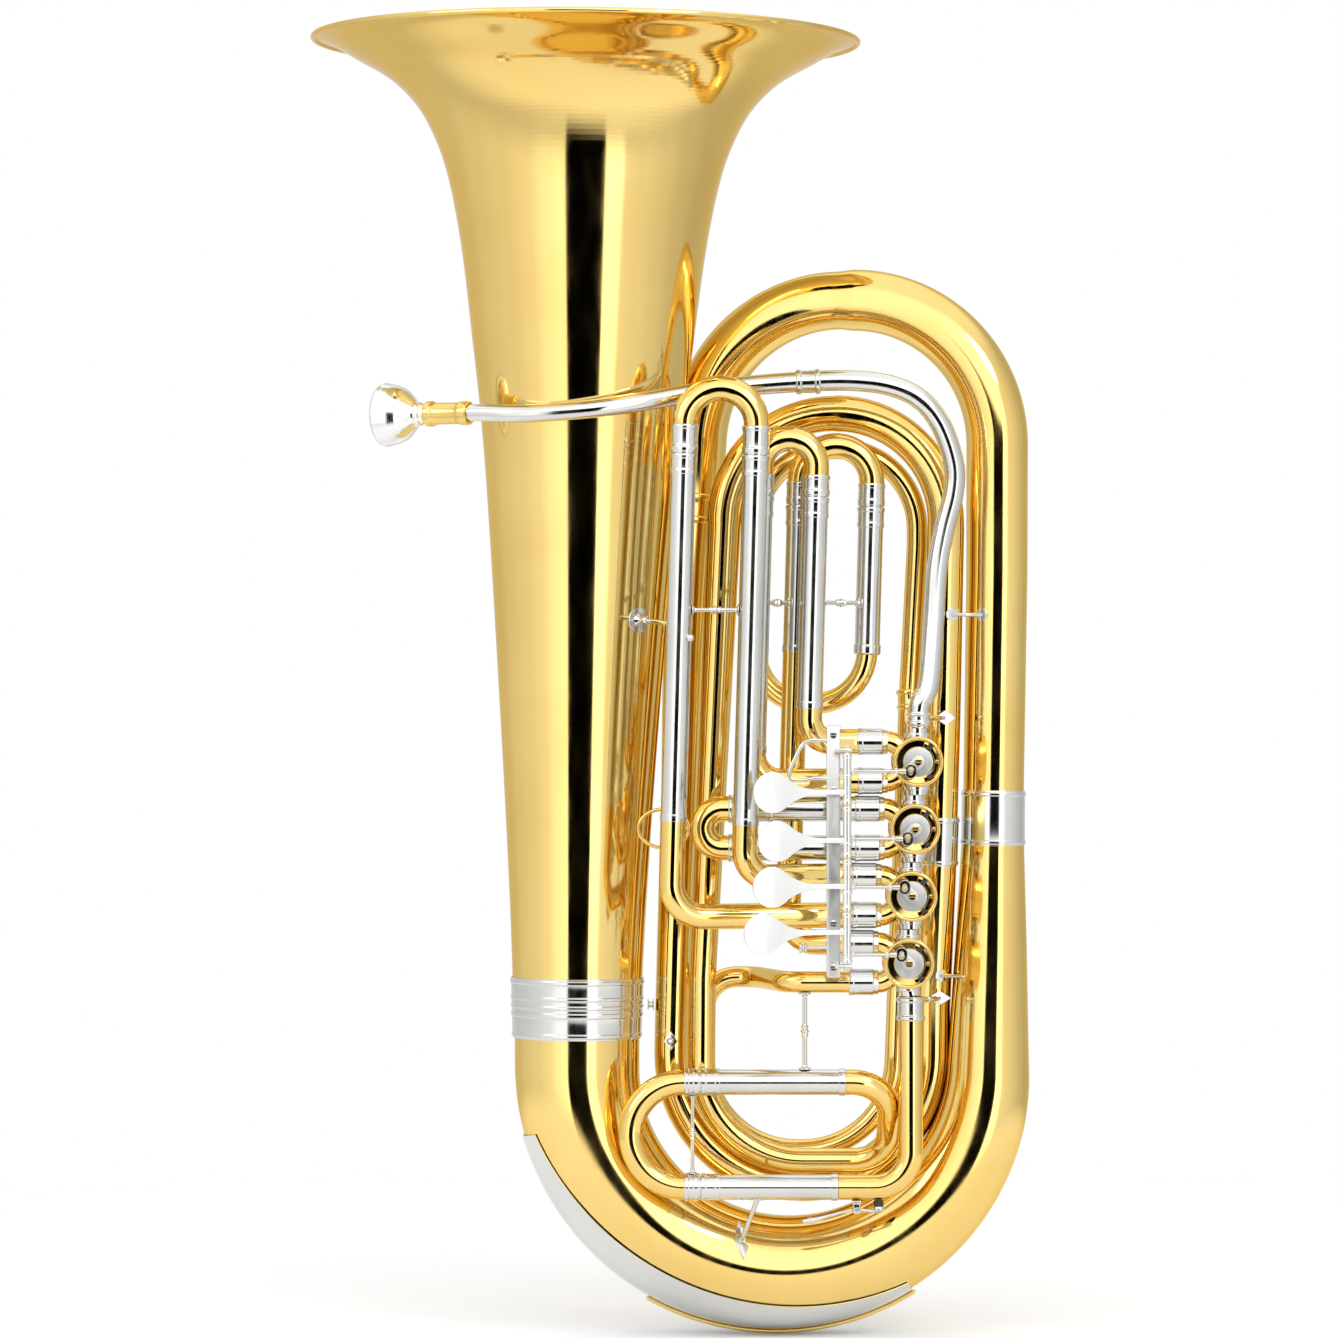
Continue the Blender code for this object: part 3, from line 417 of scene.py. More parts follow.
def make_bow_guard():
    """A thin plate wrapped round the outer side of the bottom bow, and the rail under it."""
    rows, columns = 56, 32
    first, last = 1 / 12, 8 / 12
    outside, inside = [], []
    for row in range(rows + 1):
        share = row / rows
        angle = math.pi * (1 + first + (last - first) * share)
        half = GUARD_WRAP * math.sin(math.pi * (0.12 + 0.76 * share)) ** 0.5
        for lift, lines in ((GUARD_LIFT + 0.8, outside), (GUARD_LIFT, inside)):
            radius = bow_radius(angle) + lift
            line = []
            for column in range(columns + 1):
                around = half * (2 * column / columns - 1)
                x, z = bow_point(angle, BOW_BEND + radius * math.cos(around))
                line.append(Vector((x, radius * math.sin(around), z)))
            lines.append(line)
    rings = [out + back[::-1] for out, back in zip(outside, inside)]
    Shape().loft(rings).make("bow_guard", NICKEL, nodes=["bow_guard"])
    rail = Shape()
    path = []
    for row in range(49):
        angle = math.pi * (1 + 4 / 12 + 4 / 12 * row / 48)
        x, z = bow_point(angle, BOW_BEND + bow_radius(angle) + GUARD_LIFT + 0.8 + SEAM + RAIL_RADIUS)
        path.append((x, 0, z, RAIL_RADIUS))
    rail.pipe(path, None, sides=20)
    for end in (path[0], path[-1]):
        rail.ball(end[:3], RAIL_RADIUS)
    rail.make("guard_rail", BRASS, nodes=["guard_rail"])


def make_branches():
    """The brass tubes between the main slide and the bottom bow, smallest first."""
    second = route([(50.2, PORT_Y, MAIN_UPPER_Z, 9.2), (82.5, PORT_Y, MAIN_UPPER_Z, 9.2, 28),
                    (82.5, -17, 128, 9.2, 28), (50, -12, 128, 9.2), (-53.9, -12, 128, 9.3, 73),
                    (-53.0, -9.5, 260, 9.4), (-37.5, -1, 594, 12.4), (-36.5, 0.7, 675.5, 13, 80),
                    (124.5, -11.2, 675.5, 13.3, 80), (124.8, -13, 590, 13.4), (122.2, -9, 450, 13.5),
                    (119.7, -6, SECOND_JOINT_Z + SEAM, 13.6)])
    Shape().pipe(second, sides=48).make("second_branch", BRASS, nodes=["second_branch"])
    lower = route([(119.7, -6, SECOND_JOINT_Z - SEAM, 13.6), (119.2, -5.4, 340, 13.6),
                   (115.9, 9, 241, 13.5), (115.2, 12, 109.2, 13.4, 95), (-76.0, 12, 109.2, 13.2, 95),
                   (-75.6, 12, 215, 13.1), (-73.6, 12, 288, 13.2), (-69.3, 18, 400, 14.4),
                   (-66.2, 29, 500, 16.6), (-62.4, 37.5, 568, 18.6), (-59.6, 41.5, 604.8, 19.8)])
    Shape().pipe(lower, sides=56).make("second_bow", BRASS, nodes=["second_bow"])
    outer = route([(-59.6, 41.5, 605.2, 19.8), (-56.9, 45.4, 641, 20.6), (-54.2, 44, 760.3, 21.4, 107.5),
                   (163.4, 0, 760.3, 22.6, 107.5), (162.9, 0, 560, 22.5),
                   (RISER_X, 0, RISER_JOINT_Z + SEAM, RISER_R)], step=3)
    Shape().pipe(outer, 0.9, sides=80).make("outer_branch", BRASS, nodes=["outer_branch"])
    banded_sleeve("outer_branch_ferrule", (-60.4, 40.3, 594), (-58.8, 42.7, 616), 20.3, 21.6,
                  [(0.12, 0.2), (0.88, 0.2)], slot=BRASS)


def tapered_sleeve(name, start, end, low_radius, high_radius, bands, node):
    """A thin ferrule that follows a tapered tube, with raised bands at shares of its length."""
    start, end = Vector(start), Vector(end)
    length = (end - start).length

    def outside(share, lift):
        return low_radius + (high_radius - low_radius) * share + lift, share * length

    profile = [outside(0, 0.05), outside(0, 0.7)]
    for first, last in bands:
        rise = 0.35 / length
        profile += [outside(first, 0.7), outside(first + rise, 1.3),
                outside(last - rise, 1.3), outside(last, 0.7)]
    profile += [outside(1, 0.7), outside(1, 0.05)]
    shape = Shape()
    shape.turned(profile, frame_at(start, end - start), 96, 0.35)
    shape.make(name, NICKEL, nodes=[node])


def make_ferrules():
    tapered_sleeve("bell_ferrule", (BELL_X, 0, 217.4), (BELL_X + 0.3, 0, 262), 46.6, 48.2,
                   [(0.03, 0.10), (0.36, 0.44), (0.50, 0.56), (0.64, 0.70), (0.90, 0.97)], "bell_ferrule")
    tapered_sleeve("riser_ferrule", (RISER_X - 0.2, 0, 358.6), (RISER_X + 0.2, 0, 399.1), 22.7, 22.5,
                   [(0.03, 0.10), (0.90, 0.97)], "riser_ferrule")
    tapered_sleeve("second_ferrule", (119.3, -5.2, 344), (120.3, -6.8, 379.6), 13.7, 13.8,
                   [(0.03, 0.10), (0.90, 0.97)], "second_ferrule")


# Mouthpiece and leadpipe ---------------------------------------------------

RECEIVER_START = Vector((-222.0, -66.0, 673.2))
MOUTH_YAW = math.radians(28)
MOUTH_AXIS = Vector((-math.cos(MOUTH_YAW), math.sin(MOUTH_YAW), 0))
LEADPIPE = [(-193, -79, 672.3, 6.5), (-170.9, -85, 672.4, 6.6),
            (-134.9, -87.5, 675.1, 6.8), (-98.9, -80, 680.6, 7.0), (-70, -68, 686, 7.1),
            (-45, -56, 690.5, 7.2), (-22, LEADPIPE_Y, 693.5, 7.3), (17.2, LEADPIPE_Y, 696.5, 7.4),
            (53.6, LEADPIPE_Y, 697.4, 7.5), (82.7, LEADPIPE_Y, 693.8, 7.6), (104.6, -47, 683.7, 7.6),
            (119.5, -45, 665.5, 7.7), (129.0, -43, 638.0, 7.7), (128.7, -43, 616.0, 7.7),
            (122.0, -43, 589.1, 7.7), (116.9, -44, 560.0, 7.7), (114.2, -47, 520.0, 7.7),
            (110.5, -53, 478.0, 7.7), (104.4, PORT_Y, 464.0, 7.7), (103.0, PORT_Y, 456.0, 7.7),
            (103.0, PORT_Y, 446.0, 7.7)]


def make_leadpipe():
    start = RECEIVER_START + MOUTH_AXIS * 2
    bend = RECEIVER_START - MOUTH_AXIS * 12
    path = flowing([(*start, 6.3), (*bend, 6.3), *LEADPIPE], 8)
    Shape().pipe(path, 0.7, sides=40).make("leadpipe", NICKEL, nodes=["leadpipe"])
    banded_sleeve("leadpipe_collar", (14.0, LEADPIPE_Y, 696.3), (32.0, LEADPIPE_Y, 696.9), 7.5, 9.0,
                  [(0.12, 0.2), (0.88, 0.2)])
    banded_sleeve("leadpipe_end_collar", (103.0, PORT_Y, 446.6), (103.0, PORT_Y, 457.0), 7.8, 9.2,
                  [(0.2, 0.3), (0.8, 0.2)])


def make_receiver():
    profile = [(8.5, 36), (9.2, 35), (9.2, 30.6), (8.5, 30), (8.2, 28.4), (7.9, 27.8), (7.8, 9), (8.3, 8),
               (8.6, 6.4), (8.6, 0.6), (8.0, 0), (6.4, 0), (6.4, 2.2), (7.2, 36)]
    matrix = frame_at(RECEIVER_START, MOUTH_AXIS)
    Shape().turned(profile, matrix, 56, 0.5).make("mouthpiece_receiver", BRASS, nodes=["mouthpiece_receiver"])


def make_mouthpiece():
    """Shank, backbore, bowl and rounded rim, with a bead at the foot of the bowl."""
    outside = flowing([(5.7, 0.0), (6.6, 30.0), (7.1, 33.5)], 3)
    bead = [(8.4, 34.6), (8.7, 35.8), (8.2, 37.0)]
    bowl = flowing([(9.0, 38.4), (13.4, 42.4), (18.2, 47.4), (20.9, 52.8), (22.2, 58.0), (22.9, 61.5)], 4)
    rim = flowing([(23.3, 63.0), (22.6, 64.9), (20.4, 65.6), (18.0, 65.1), (16.5, 63.6)], 4)
    inside = flowing([(16.0, 58.0), (15.2, 54.0), (12.6, 48.6), (8.0, 44.6), (4.2, 41.6), (3.9, 38.0)], 4)
    backbore = [(4.5, 18.0), (5.0, 0.0)]
    profile = (outside + bead + bowl + rim + inside + backbore)
    matrix = frame_at(RECEIVER_START + MOUTH_AXIS * 6.5, MOUTH_AXIS)
    shape = Shape().turned(profile, matrix, 72, 0.15)
    shape.make("mouthpiece", SILVER, "mouthpiece_body", ["mouthpiece"])

# Valves --------------------------------------------------------------------

VALVES = (1, 2, 3, 4)
CASING_R = 18.3
FRONT = 74.5               # how far the casing's front bearing is in front of the bell's axis
BACK = 36.0
PORT_RISE = 14.2
PORT_REACH = 26.7
PORT_R = 7.6
HALF_PITCH = 24.0          # from a valve's axis to the ends of its upper and lower ports
OUTLET_X = 97.3
CRANK = 26.0
PIN_ORBIT = 8.0
PIN_OFFSET = PIN_ORBIT * math.sin(math.radians(45))
LEVER_HALF = math.asin(PIN_OFFSET / CRANK)
PADDLE_DROP = math.radians(18.8)
PIN_R = 1.5
PADDLES = {1: (-4.1, 399.8), 2: (-0.9, 365.1), 3: (-4.4, 332.3), 4: (-10.9, 299.4)}
PADDLE_R = 14.7
HINGE_TOP_Z = 427.5
HINGE_PITCH = 38.0
HINGE_LENGTH = 36.5


def valve_centre(number):
    place = joint_place(f"rotor_{number}_turn")
    return place.x, place.z


def pin_side(number):
    """The rotor's pin starts below the axis on valves 1 and 2, and above it on 3 and 4."""
    return -1 if number < 3 else 1


def screw(shape, place, way, radius, height):
    """A domed screw head with a slot, standing on a place."""
    matrix = frame_at(place, way)
    half = radius * 0.14
    for side in (1, -1):
        arc = circle(radius, 14, 8, 172)
        outline = [(x, side * max(y, half)) for x, y in arc]
        shape.plate(outline[::side], height, 0.18 * height, matrix @ Matrix.Translation((0, 0, height / 2)))
    shape.turned([(0.05, height * 0.55), (radius * 0.9, height * 0.55), (radius, 0), (0.05, 0)], matrix, 28,
                 0.1, closed=False)


def make_casing(number):
    x, z = valve_centre(number)
    y = PORT_Y
    shape = Shape()
    rim = [(16.95 + 1.35 * a, FRONT + 1.6 + 1.4 * b) for a, b in circle(1.0, 9, 170, 10)]
    profile = rim + [(CASING_R, FRONT - 1), (17.5, FRONT - 1.8),
               (17.5, BACK + 4), (CASING_R, BACK + 3.2), (CASING_R, BACK), (15.7, BACK), (15.7, FRONT - 3),
               (4.3, FRONT - 3), (4.3, FRONT), (15.6, FRONT)]
    shape.turned(profile, facing_front(x, 0, z), 96, 0.25)
    for side in (1, -1):
        path = flowing([(x - 9.5, y, z + side * 7.0, PORT_R), (x - 14.5, y, z + side * 11.6, PORT_R),
                        (x - 20.0, y, z + side * PORT_RISE, PORT_R),
                        (x - PORT_REACH, y, z + side * PORT_RISE, PORT_R)], 7)
        shape.pipe(path, 0.9, sides=40)
    shape.make(f"valve_casing_{number}", BRASS, nodes=[f"valve_casing_{number}"])
    ports = Shape()
    bottom_x = x if number < 4 else OUTLET_X
    for end_x, sign in ((x, 1), (bottom_x, -1)):
        ports.pipe([(x, y, z + sign * 15.0, PORT_R), (end_x, y, z + sign * HALF_PITCH, PORT_R)], 0.9,
                   sides=40)
        ports.turned([(PORT_R, 3.4), (9.1, 3.4), (9.1, 0.0), (PORT_R, 0.0)],
                     frame_at((x, y, z + sign * 17.2), (0, 0, sign)), 48, 0.5)
    ports.make(f"valve_{number}_connecting_ports", NICKEL)
    sleeves = Shape()
    for side in (1, -1):
        start = Vector((x - 43.0, y, z + side * PORT_RISE))
        profile = [(9.25, 0), (9.9, 0), (9.9, 3), (9.6, 3.6), (9.6, 17.4), (9.0, 18.2), (8.6, 21.5),
                   (7.65, 21.5), (7.65, 16.3), (9.25, 15.9)]
        sleeves.turned(profile, frame_at(start, (1, 0, 0)), 56, 0.4)
    sleeves.make(f"valve_{number}_port_ferrules", NICKEL)


def make_stop(number):
    """The corks that stop the rotor, their plate, and the screw that holds it on the casing."""
    x, z = valve_centre(number)
    face = -FRONT
    plate = Shape()
    arc = circle(15.3, 22, -72, 72) + circle(11.6, 22, -72, 72)[::-1]
    plate.plate(arc, 1.0, 0.2, facing_front(x, face - 0.5, z))
    screw(plate, (x + 13.4, face - 1.0, z), (0, -1, 0), 1.5, 1.0)
    plate.make(f"valve_{number}_cork_plate", BRASS)
    corks = Shape()
    for turn in (-52, 52):
        matrix = facing_front(x, face - 2.1, z) @ Matrix.Rotation(math.radians(turn), 4, "Z")
        corks.box((11.7, -1.9, -1.1), (15.2, 1.9, 1.1), 0.4, matrix)
    corks.make(f"valve_{number}_corks", CORK)


def make_rotor(number):
    """Rotor, spindle, stop disc with its arm, and the pin that the link drives."""
    x, z = valve_centre(number)
    shape = Shape()
    profile = [(10.6, FRONT + 2.2), (10.6, FRONT + 0.7), (3.7, FRONT + 0.7), (3.7, FRONT - 3.6),
               (15.2, FRONT - 3.6), (15.2, BACK + 1), (0.05, BACK + 1)]
    shape.turned([(0.05, FRONT + 2.2)] + profile, facing_front(x, 0, z), 72, 0.3, closed=False)
    side = pin_side(number)
    pin = Vector((x - PIN_OFFSET, 0, z + side * PIN_OFFSET))
    way = math.atan2(side, -1)
    arm = circle(4.4, 12, 90, 270)[::-1] + circle(3.3, 12, -90, 90)[::-1]
    outline = [(px if index < 12 else px + PIN_ORBIT, py) for index, (px, py) in enumerate(arm)]
    turn = facing_front(x, -FRONT - 2.9, z) @ Matrix.Rotation(way, 4, "Z")
    shape.plate(outline, 1.4, 0.3, turn)
    shape.rod((pin.x, -FRONT - 2.0, pin.z), (pin.x, -82.7, pin.z), PIN_R)
    shape.make(f"valve_rotor_{number}", NICKEL, f"rotor_{number}_body", [f"valve_rotor_{number}"], SATIN)
    head = Shape()
    screw(head, (x, -FRONT - 3.6, z), (0, -1, 0), 2.7, 1.1)
    head.turned([(1.55, 0.9), (2.4, 0.9), (2.4, 0), (1.55, 0)], frame_at((pin.x, -82.0, pin.z), (0, 1,
                                                                                                 0)), 28)
    head.make(f"valve_{number}_stop_screw", BRASS, f"rotor_{number}_body")


def make_back_cap(number):
    x, z = valve_centre(number)
    profile = [(0.05, 35.7), (17.9, 35.7), (17.9, 33.0), (16.9, 32.0), (11.0, 31.2), (10.2, 30.4),
               (6.2, 30.4),
               (5.4, 28.8), (2.4, 28.8), (1.8, 30.0), (0.05, 30.0)]
    shape = Shape()
    shape.turned(profile, facing_front(x, 0, z), 96, 0.4, closed=False)
    ribs = 40
    for index in range(ribs):
        turn = facing_front(x, 0, z) @ Matrix.Rotation(math.tau * index / ribs, 4, "Z")
        shape.box((17.6, -0.5, 33.3), (18.25, 0.5, 35.4), 0.2, turn)
    shape.make(f"valve_back_cap_{number}", BRASS, nodes=[f"valve_back_cap_{number}"])


# Levers and links ----------------------------------------------------------

def make_lever(number):
    """Hinge tube with a collar at each end, crank with its pin, and the arm that ends in a paddle."""
    pivot = joint_place(f"lever_{number}_press")
    level = pivot.z
    body = f"lever_{number}_body"
    top = HINGE_TOP_Z - HINGE_PITCH * (number - 1)
    axis = Vector((pivot.x, pivot.y, 0))
    shape = Shape()
    profile = [(1.85, top), (3.5, top), (3.5, top - 2.6), (3.0, top - 3.2)]
    foot = top - HINGE_LENGTH
    profile += [(3.0, foot + 3.2), (3.5, foot + 2.6), (3.5, foot), (1.85, foot)]
    shape.turned(profile, Matrix.Translation(axis), 40, 0.3)
    turn = Matrix.Translation(axis + Vector((0, 0, level - 2.8))) @ Matrix.Rotation(LEVER_HALF, 4, "Z")
    outline = circle(3.9, 14, 190, 350) + [(x, y + CRANK) for x, y in circle(2.7, 12, 0, 180)]
    shape.plate(outline, 2.0, 0.4, turn)
    pin = axis + Vector((-math.sin(LEVER_HALF), math.cos(LEVER_HALF), 0)) * CRANK
    shape.rod(pin + Vector((0, 0, level - 3.4)), pin + Vector((0, 0, level + 1.4)), PIN_R)
    paddle_x, paddle_z = PADDLES[number]
    way = Vector((-math.cos(PADDLE_DROP), -math.sin(PADDLE_DROP), 0))
    length = (pivot.x - paddle_x) / math.cos(PADDLE_DROP)
    centre = axis + way * length + Vector((0, 0, paddle_z))
    taper = flowing([(9.6, 11.1), (15.5, 6.9), (23.0, 3.7), (31.0, 2.0), (40.0, 1.7), (length - 2.2, 1.9)], 6)
    outline = circle(PADDLE_R, 40, 49, 311) + [(x, -y) for x, y in taper][1:] + taper[::-1][:-1]
    back = way * -1
    up = Vector((0, 0, 1))
    face = Matrix((back, up, back.cross(up))).transposed().to_4x4()
    shape.plate(outline, 1.8, 0.6, Matrix.Translation(centre) @ face)
    shape.make(f"lever_{number}", SILVER, body, [f"lever_{number}"])
    head = Shape()
    screw(head, pin + Vector((0, 0, level + 1.4)), (0, 0, 1), 2.5, 1.1)
    head.make(f"lever_{number}_crank_screw", NICKEL, body)


def stadium(radius, half, count=12):
    """A round outline stretched along Y by twice half."""
    top = [(x, y + half) for x, y in circle(radius, count, 0, 180)]
    return top + [(-x, -y) for x, y in top]


def eye(shape, outer, inner, thickness, matrix):
    """A flat eye between two outlines with the same number of points."""
    half = thickness / 2
    rims = [(outer, 0.92, -half), (outer, 1.0, -half * 0.7), (outer, 1.0, half * 0.7), (outer, 0.92, half),
            (inner, 1.0, half), (inner, 1.0, -half)]
    shape.loft([[matrix @ Vector((x * scale, y * scale, height)) for x, y in outline]
                for outline, scale, height in rims], closed=True)


def make_link(number):
    """An eye on the crank's pin, a rod with two lock nuts, and a slotted eye on the rotor's pin."""
    x, _ = valve_centre(number)
    near = joint_place(f"link_{number}_swivel")
    far = Vector((x - PIN_OFFSET, near.y, near.z))
    slot_half = (PIN_ORBIT - PIN_OFFSET) / 2
    shape = Shape()
    eye(shape, stadium(4.0, 0.01), stadium(PIN_R + 0.2, 0.01), 2.2, Matrix.Translation(near))
    eye(shape, stadium(4.2, slot_half), stadium(PIN_R + 0.2, slot_half), 2.2, facing_front(*far))
    start, end = near + Vector((3.2, 0, 0)), far - Vector((3.4, 0, 0))
    shape.rod(start, end, 1.25)
    for place, way in ((start, 1), (end, -1)):
        collar = frame_at(place, (way, 0, 0))
        shape.turned([(0.05, 5.5), (1.9, 5.5), (2.2, 0), (0.05, 0)], collar, 24, 0.3, closed=False)
        shape.turned([(0.05, 8.2), (2.6, 8.2), (2.6, 6.2), (0.05, 6.2)], collar, 6, 0.1, closed=False)
    shape.make(f"link_{number}", NICKEL, f"link_{number}_body", [f"link_{number}"])


def make_lever_rail():
    """The fixed bar behind the paddles, its feet and screws, and the tabs that hold the axle."""
    low_z, high_z = 266.6, 447.8
    bottom = HINGE_TOP_Z - 3 * HINGE_PITCH - HINGE_LENGTH
    pivot = joint_place("lever_1_press")
    shape = Shape()
    shape.box((35.0, -99.3, low_z), (45.0, -96.3, high_z), 1.1)
    for z in (HINGE_TOP_Z + 0.8, bottom - 3.8):
        shape.box((41.0, -109.4, z), (53.0, -97.0, z + 3.0), 1.0)
    _, z1 = valve_centre(1)
    _, z4 = valve_centre(4)
    feet = ((z1 + PORT_RISE, -71.6), (z4 + PORT_RISE, -61.0))
    for z, end_y in feet:
        shape.turned([(0.05, 97 + end_y), (4.6, 97 + end_y), (4.4, 95.6 + end_y), (2.6, 93.6 + end_y),
                      (2.4, 12), (2.8, 10), (2.4, 8), (2.6, 2), (3.6, 0), (0.05, 0)],
                     frame_at((40, -97, z), (0, 1, 0)), 32, 0.5, closed=False)
    shape.make("lever_rail", NICKEL, nodes=["lever_rail"], finish=SATIN)
    axle = Shape()
    axle.rod((pivot.x, pivot.y, bottom - 4.8), (pivot.x, pivot.y, HINGE_TOP_Z + 4.6), 1.6)
    axle.make("lever_axle", NICKEL, nodes=["lever_axle"])
    screws = Shape()
    for z in (high_z - 7.0, low_z + 7.0, z1 - 20, z4 + 30):
        screw(screws, (40, -99.3, z), (0, -1, 0), 2.6, 1.2)
    for z, way in ((HINGE_TOP_Z + 3.8, 1), (bottom - 3.8, -1)):
        screw(screws, (pivot.x, pivot.y, z), (0, 0, way), 2.8, 1.4)
    screws.make("lever_rail_screws", NICKEL)
    washers = Shape()
    for number in VALVES[:-1]:
        gap_top = HINGE_TOP_Z - HINGE_PITCH * (number - 1) - HINGE_LENGTH
        washers.turned([(1.65, 1.3), (3.3, 1.3), (3.3, 0), (1.65, 0)],
                       Matrix.Translation((pivot.x, pivot.y, gap_top - 1.4)), 32, 0.2)
    washers.make("lever_axle_washers", BRASS)


def make_rail_fittings():
    """The thumb hook at the top left of the bar, and the thumb screw at its foot."""
    hook = Shape()
    turns = [(36, 409), (27, 409.5), (17, 408), (10, 409), (8.4, 414), (12.6, 424), (17.4, 433), (22, 436.4),
             (29, 436.8), (36, 436.6)]
    path = flowing([(x, -97.8, z, 1.5) for x, z in turns], 7)
    hook.pipe(path, None, sides=16)
    hook.make("thumb_hook", NICKEL)
    knob = Shape()
    knob.turned([(0.05, 20), (1.3, 20), (1.3, 5.6), (3.6, 5.0), (3.6, 3.8), (2.0, 3.4), (2.0, 2.0),
                 (3.9, 1.5),
                 (3.9, 0), (0.05, 0)], frame_at((15.6, -97.8, 288.0), (1, 0, 0)), 32, 0.4, closed=False)
    knob.make("thumb_screw", NICKEL)

# Slides --------------------------------------------------------------------

SLIDE_R = 9.2
LEG_R = 8.15               # inner legs, a close fit in the outer tubes
FERRULE_R = 10.3
SLIDE_LEAN = math.radians(1.6)
SLIDE_Y = {1: -67.0, 2: PORT_Y, 3: -88.0, 4: -31.0}
LOOP_R = 7.7
LOOP_START_Z = 503.0
RING_REACH = 63.8
RING_HALF = (18.3, 14.0)


class Slide:
    """A pair of parallel legs. Its mouth is the middle of the open ends of the outer tubes."""

    def __init__(self, mouth, along, across, half, ferrule, straight, inner):
        self.mouth = Vector(mouth)
        self.along = Vector(along)
        self.across = Vector(across)
        self.half = half
        self.ferrule = ferrule
        self.straight = straight
        self.inner = inner

    def point(self, side, travel, radius):
        place = self.mouth + self.across * self.half * side + self.along * travel
        return (*place, radius)

    def leg(self, side, height):
        """Where an upright leg's axis passes a height."""
        place = self.mouth + self.across * self.half * side
        return place + self.along * ((height - place.z) / self.along.z)


def upright(number, x, mouth_z, half, ferrule, straight, inner):
    along = Vector((math.sin(SLIDE_LEAN), 0, math.cos(SLIDE_LEAN)))
    across = Vector((along.z, 0, -along.x))
    return Slide((x, SLIDE_Y[number], mouth_z), along, across, half, ferrule, straight, inner)


SLIDES = {
    1: upright(1, 8.0, 612.8, 20.0, 16.0, 21.8, 90.0),
    2: Slide((-18.0, PORT_Y, valve_centre(2)[1]), (-1, 0, 0), (0, 0, 1), PORT_RISE, 17.0, 21.4, 70.0),
    3: upright(3, -41.5, 642.4, 25.9, 21.0, 17.6, 110.0),
    4: upright(4, 43.3, 606.9, 26.1, 17.0, 14.4, 90.0),
}
MAIN_SLIDE = Slide((-55.0, PORT_Y, (MAIN_UPPER_Z + MAIN_LOWER_Z) / 2), (-1, 0, 0), (0, 0, 1),
                   (MAIN_UPPER_Z - MAIN_LOWER_Z) / 2, 12.0, 12.8, 85.0)


def moving_bow(name, slide, body):
    """A brass bow, and the two nickel legs with their ferrules that carry it."""
    start = slide.ferrule - 1.0
    path = [slide.point(-1, start, SLIDE_R)]
    straight = max(slide.straight, slide.ferrule + 0.8)
    pieces = 40
    for index in range(pieces + 1):
        angle = math.pi * index / pieces
        travel = straight + slide.half * math.sin(angle)
        path.append(slide.point(-math.cos(angle), travel, SLIDE_R))
    path.append(slide.point(1, start, SLIDE_R))
    Shape().pipe(path, 0.7, sides=48).make(name, BRASS, body, [name])
    legs = Shape()
    for side in (-1, 1):
        legs.pipe([slide.point(side, -slide.inner, LEG_R), slide.point(side, start, LEG_R)], 0.7, sides=40)
        length = slide.ferrule - 0.3
        # Slide 4 passes close to the second branch, so its ferrules are slimmer than on the solid.
        ring, rise = (9.95, 0.3) if slide is SLIDES[4] else (FERRULE_R, 0.6)
        body_r = ring - rise
        profile = [(LEG_R + 0.03, 0), (body_r, 0), (body_r, 0.8), (ring, 1.6),
                   (ring, 4.6), (body_r, 5.4), (body_r, length - 3.6),
                   (ring, length - 3.0), (ring, length - 0.8), (body_r, length),
                   (SLIDE_R + 0.03, length), (SLIDE_R + 0.03, length - 2), (LEG_R + 0.03, length - 2)]
        place = Vector(slide.point(side, 0.3, 0)[:3])
        legs.turned(profile, frame_at(place, slide.along), 56, 0.35)
    legs.make(f"{name}_legs", NICKEL, body)


def mouth_bands(shape, slide, sides=(-1, 1), length=15.0):
    """The fixed ferrules round the open ends of a slide's outer tubes."""
    for side in sides:
        place = Vector(slide.point(side, -length, 0)[:3])
        profile = [(SLIDE_R + 0.02, 0), (9.6, 0), (9.9, 0.6), (9.9, 3.2), (9.6, 3.8), (9.6, length - 4.0),
                   (10.1, length - 3.2), (10.1, length - 0.4), (SLIDE_R - 0.75, length - 0.1),
                   (SLIDE_R - 0.75, length - 0.6), (SLIDE_R + 0.02, length - 0.6)]
        shape.turned(profile, frame_at(place, slide.along), 56, 0.35)


def split_at_height(path, height):
    """The part of a falling path above a height, and the part below it."""
    for index, (above, below) in enumerate(zip(path, path[1:])):
        if above[2] >= height > below[2]:
            share = (above[2] - height) / (above[2] - below[2])
            cut = tuple(a + (b - a) * share for a, b in zip(above, below))
            return path[:index + 1] + [cut], [cut] + path[index + 1:]
    return path, []


def upright_tube(node, number, side, port_side, bend, turn_x, brass_below):
    """An outer slide tube: a nickel leg, and a brass elbow that goes right to its valve port."""
    slide = SLIDES[number]
    x, z = valve_centre(number)
    end_x, level = x - PORT_REACH - SEAM, z + port_side * PORT_RISE
    y = SLIDE_Y[number]
    turn = slide.leg(side, level)
    corners = [slide.point(side, -0.2, SLIDE_R), (turn.x, y, level, SLIDE_R, bend),
               (turn_x, PORT_Y, level, SLIDE_R, 22.0), (end_x, PORT_Y, level, SLIDE_R)]
    leg, elbow = split_at_height(route(corners), brass_below)
    Shape().pipe(leg, sides=48).make(f"{node}_leg", NICKEL, nodes=[node])
    Shape().pipe(elbow, sides=48).make(node, BRASS, nodes=[node])
    joint = Vector(elbow[0][:3])
    band = Shape()
    band.turned([(SLIDE_R + 0.02, 2.6), (9.7, 2.6), (9.7, -2.6), (SLIDE_R + 0.02, -2.6)],
                frame_at(joint, slide.along), 48, 0.4)
    band.make(f"{node}_joint_ring", NICKEL)


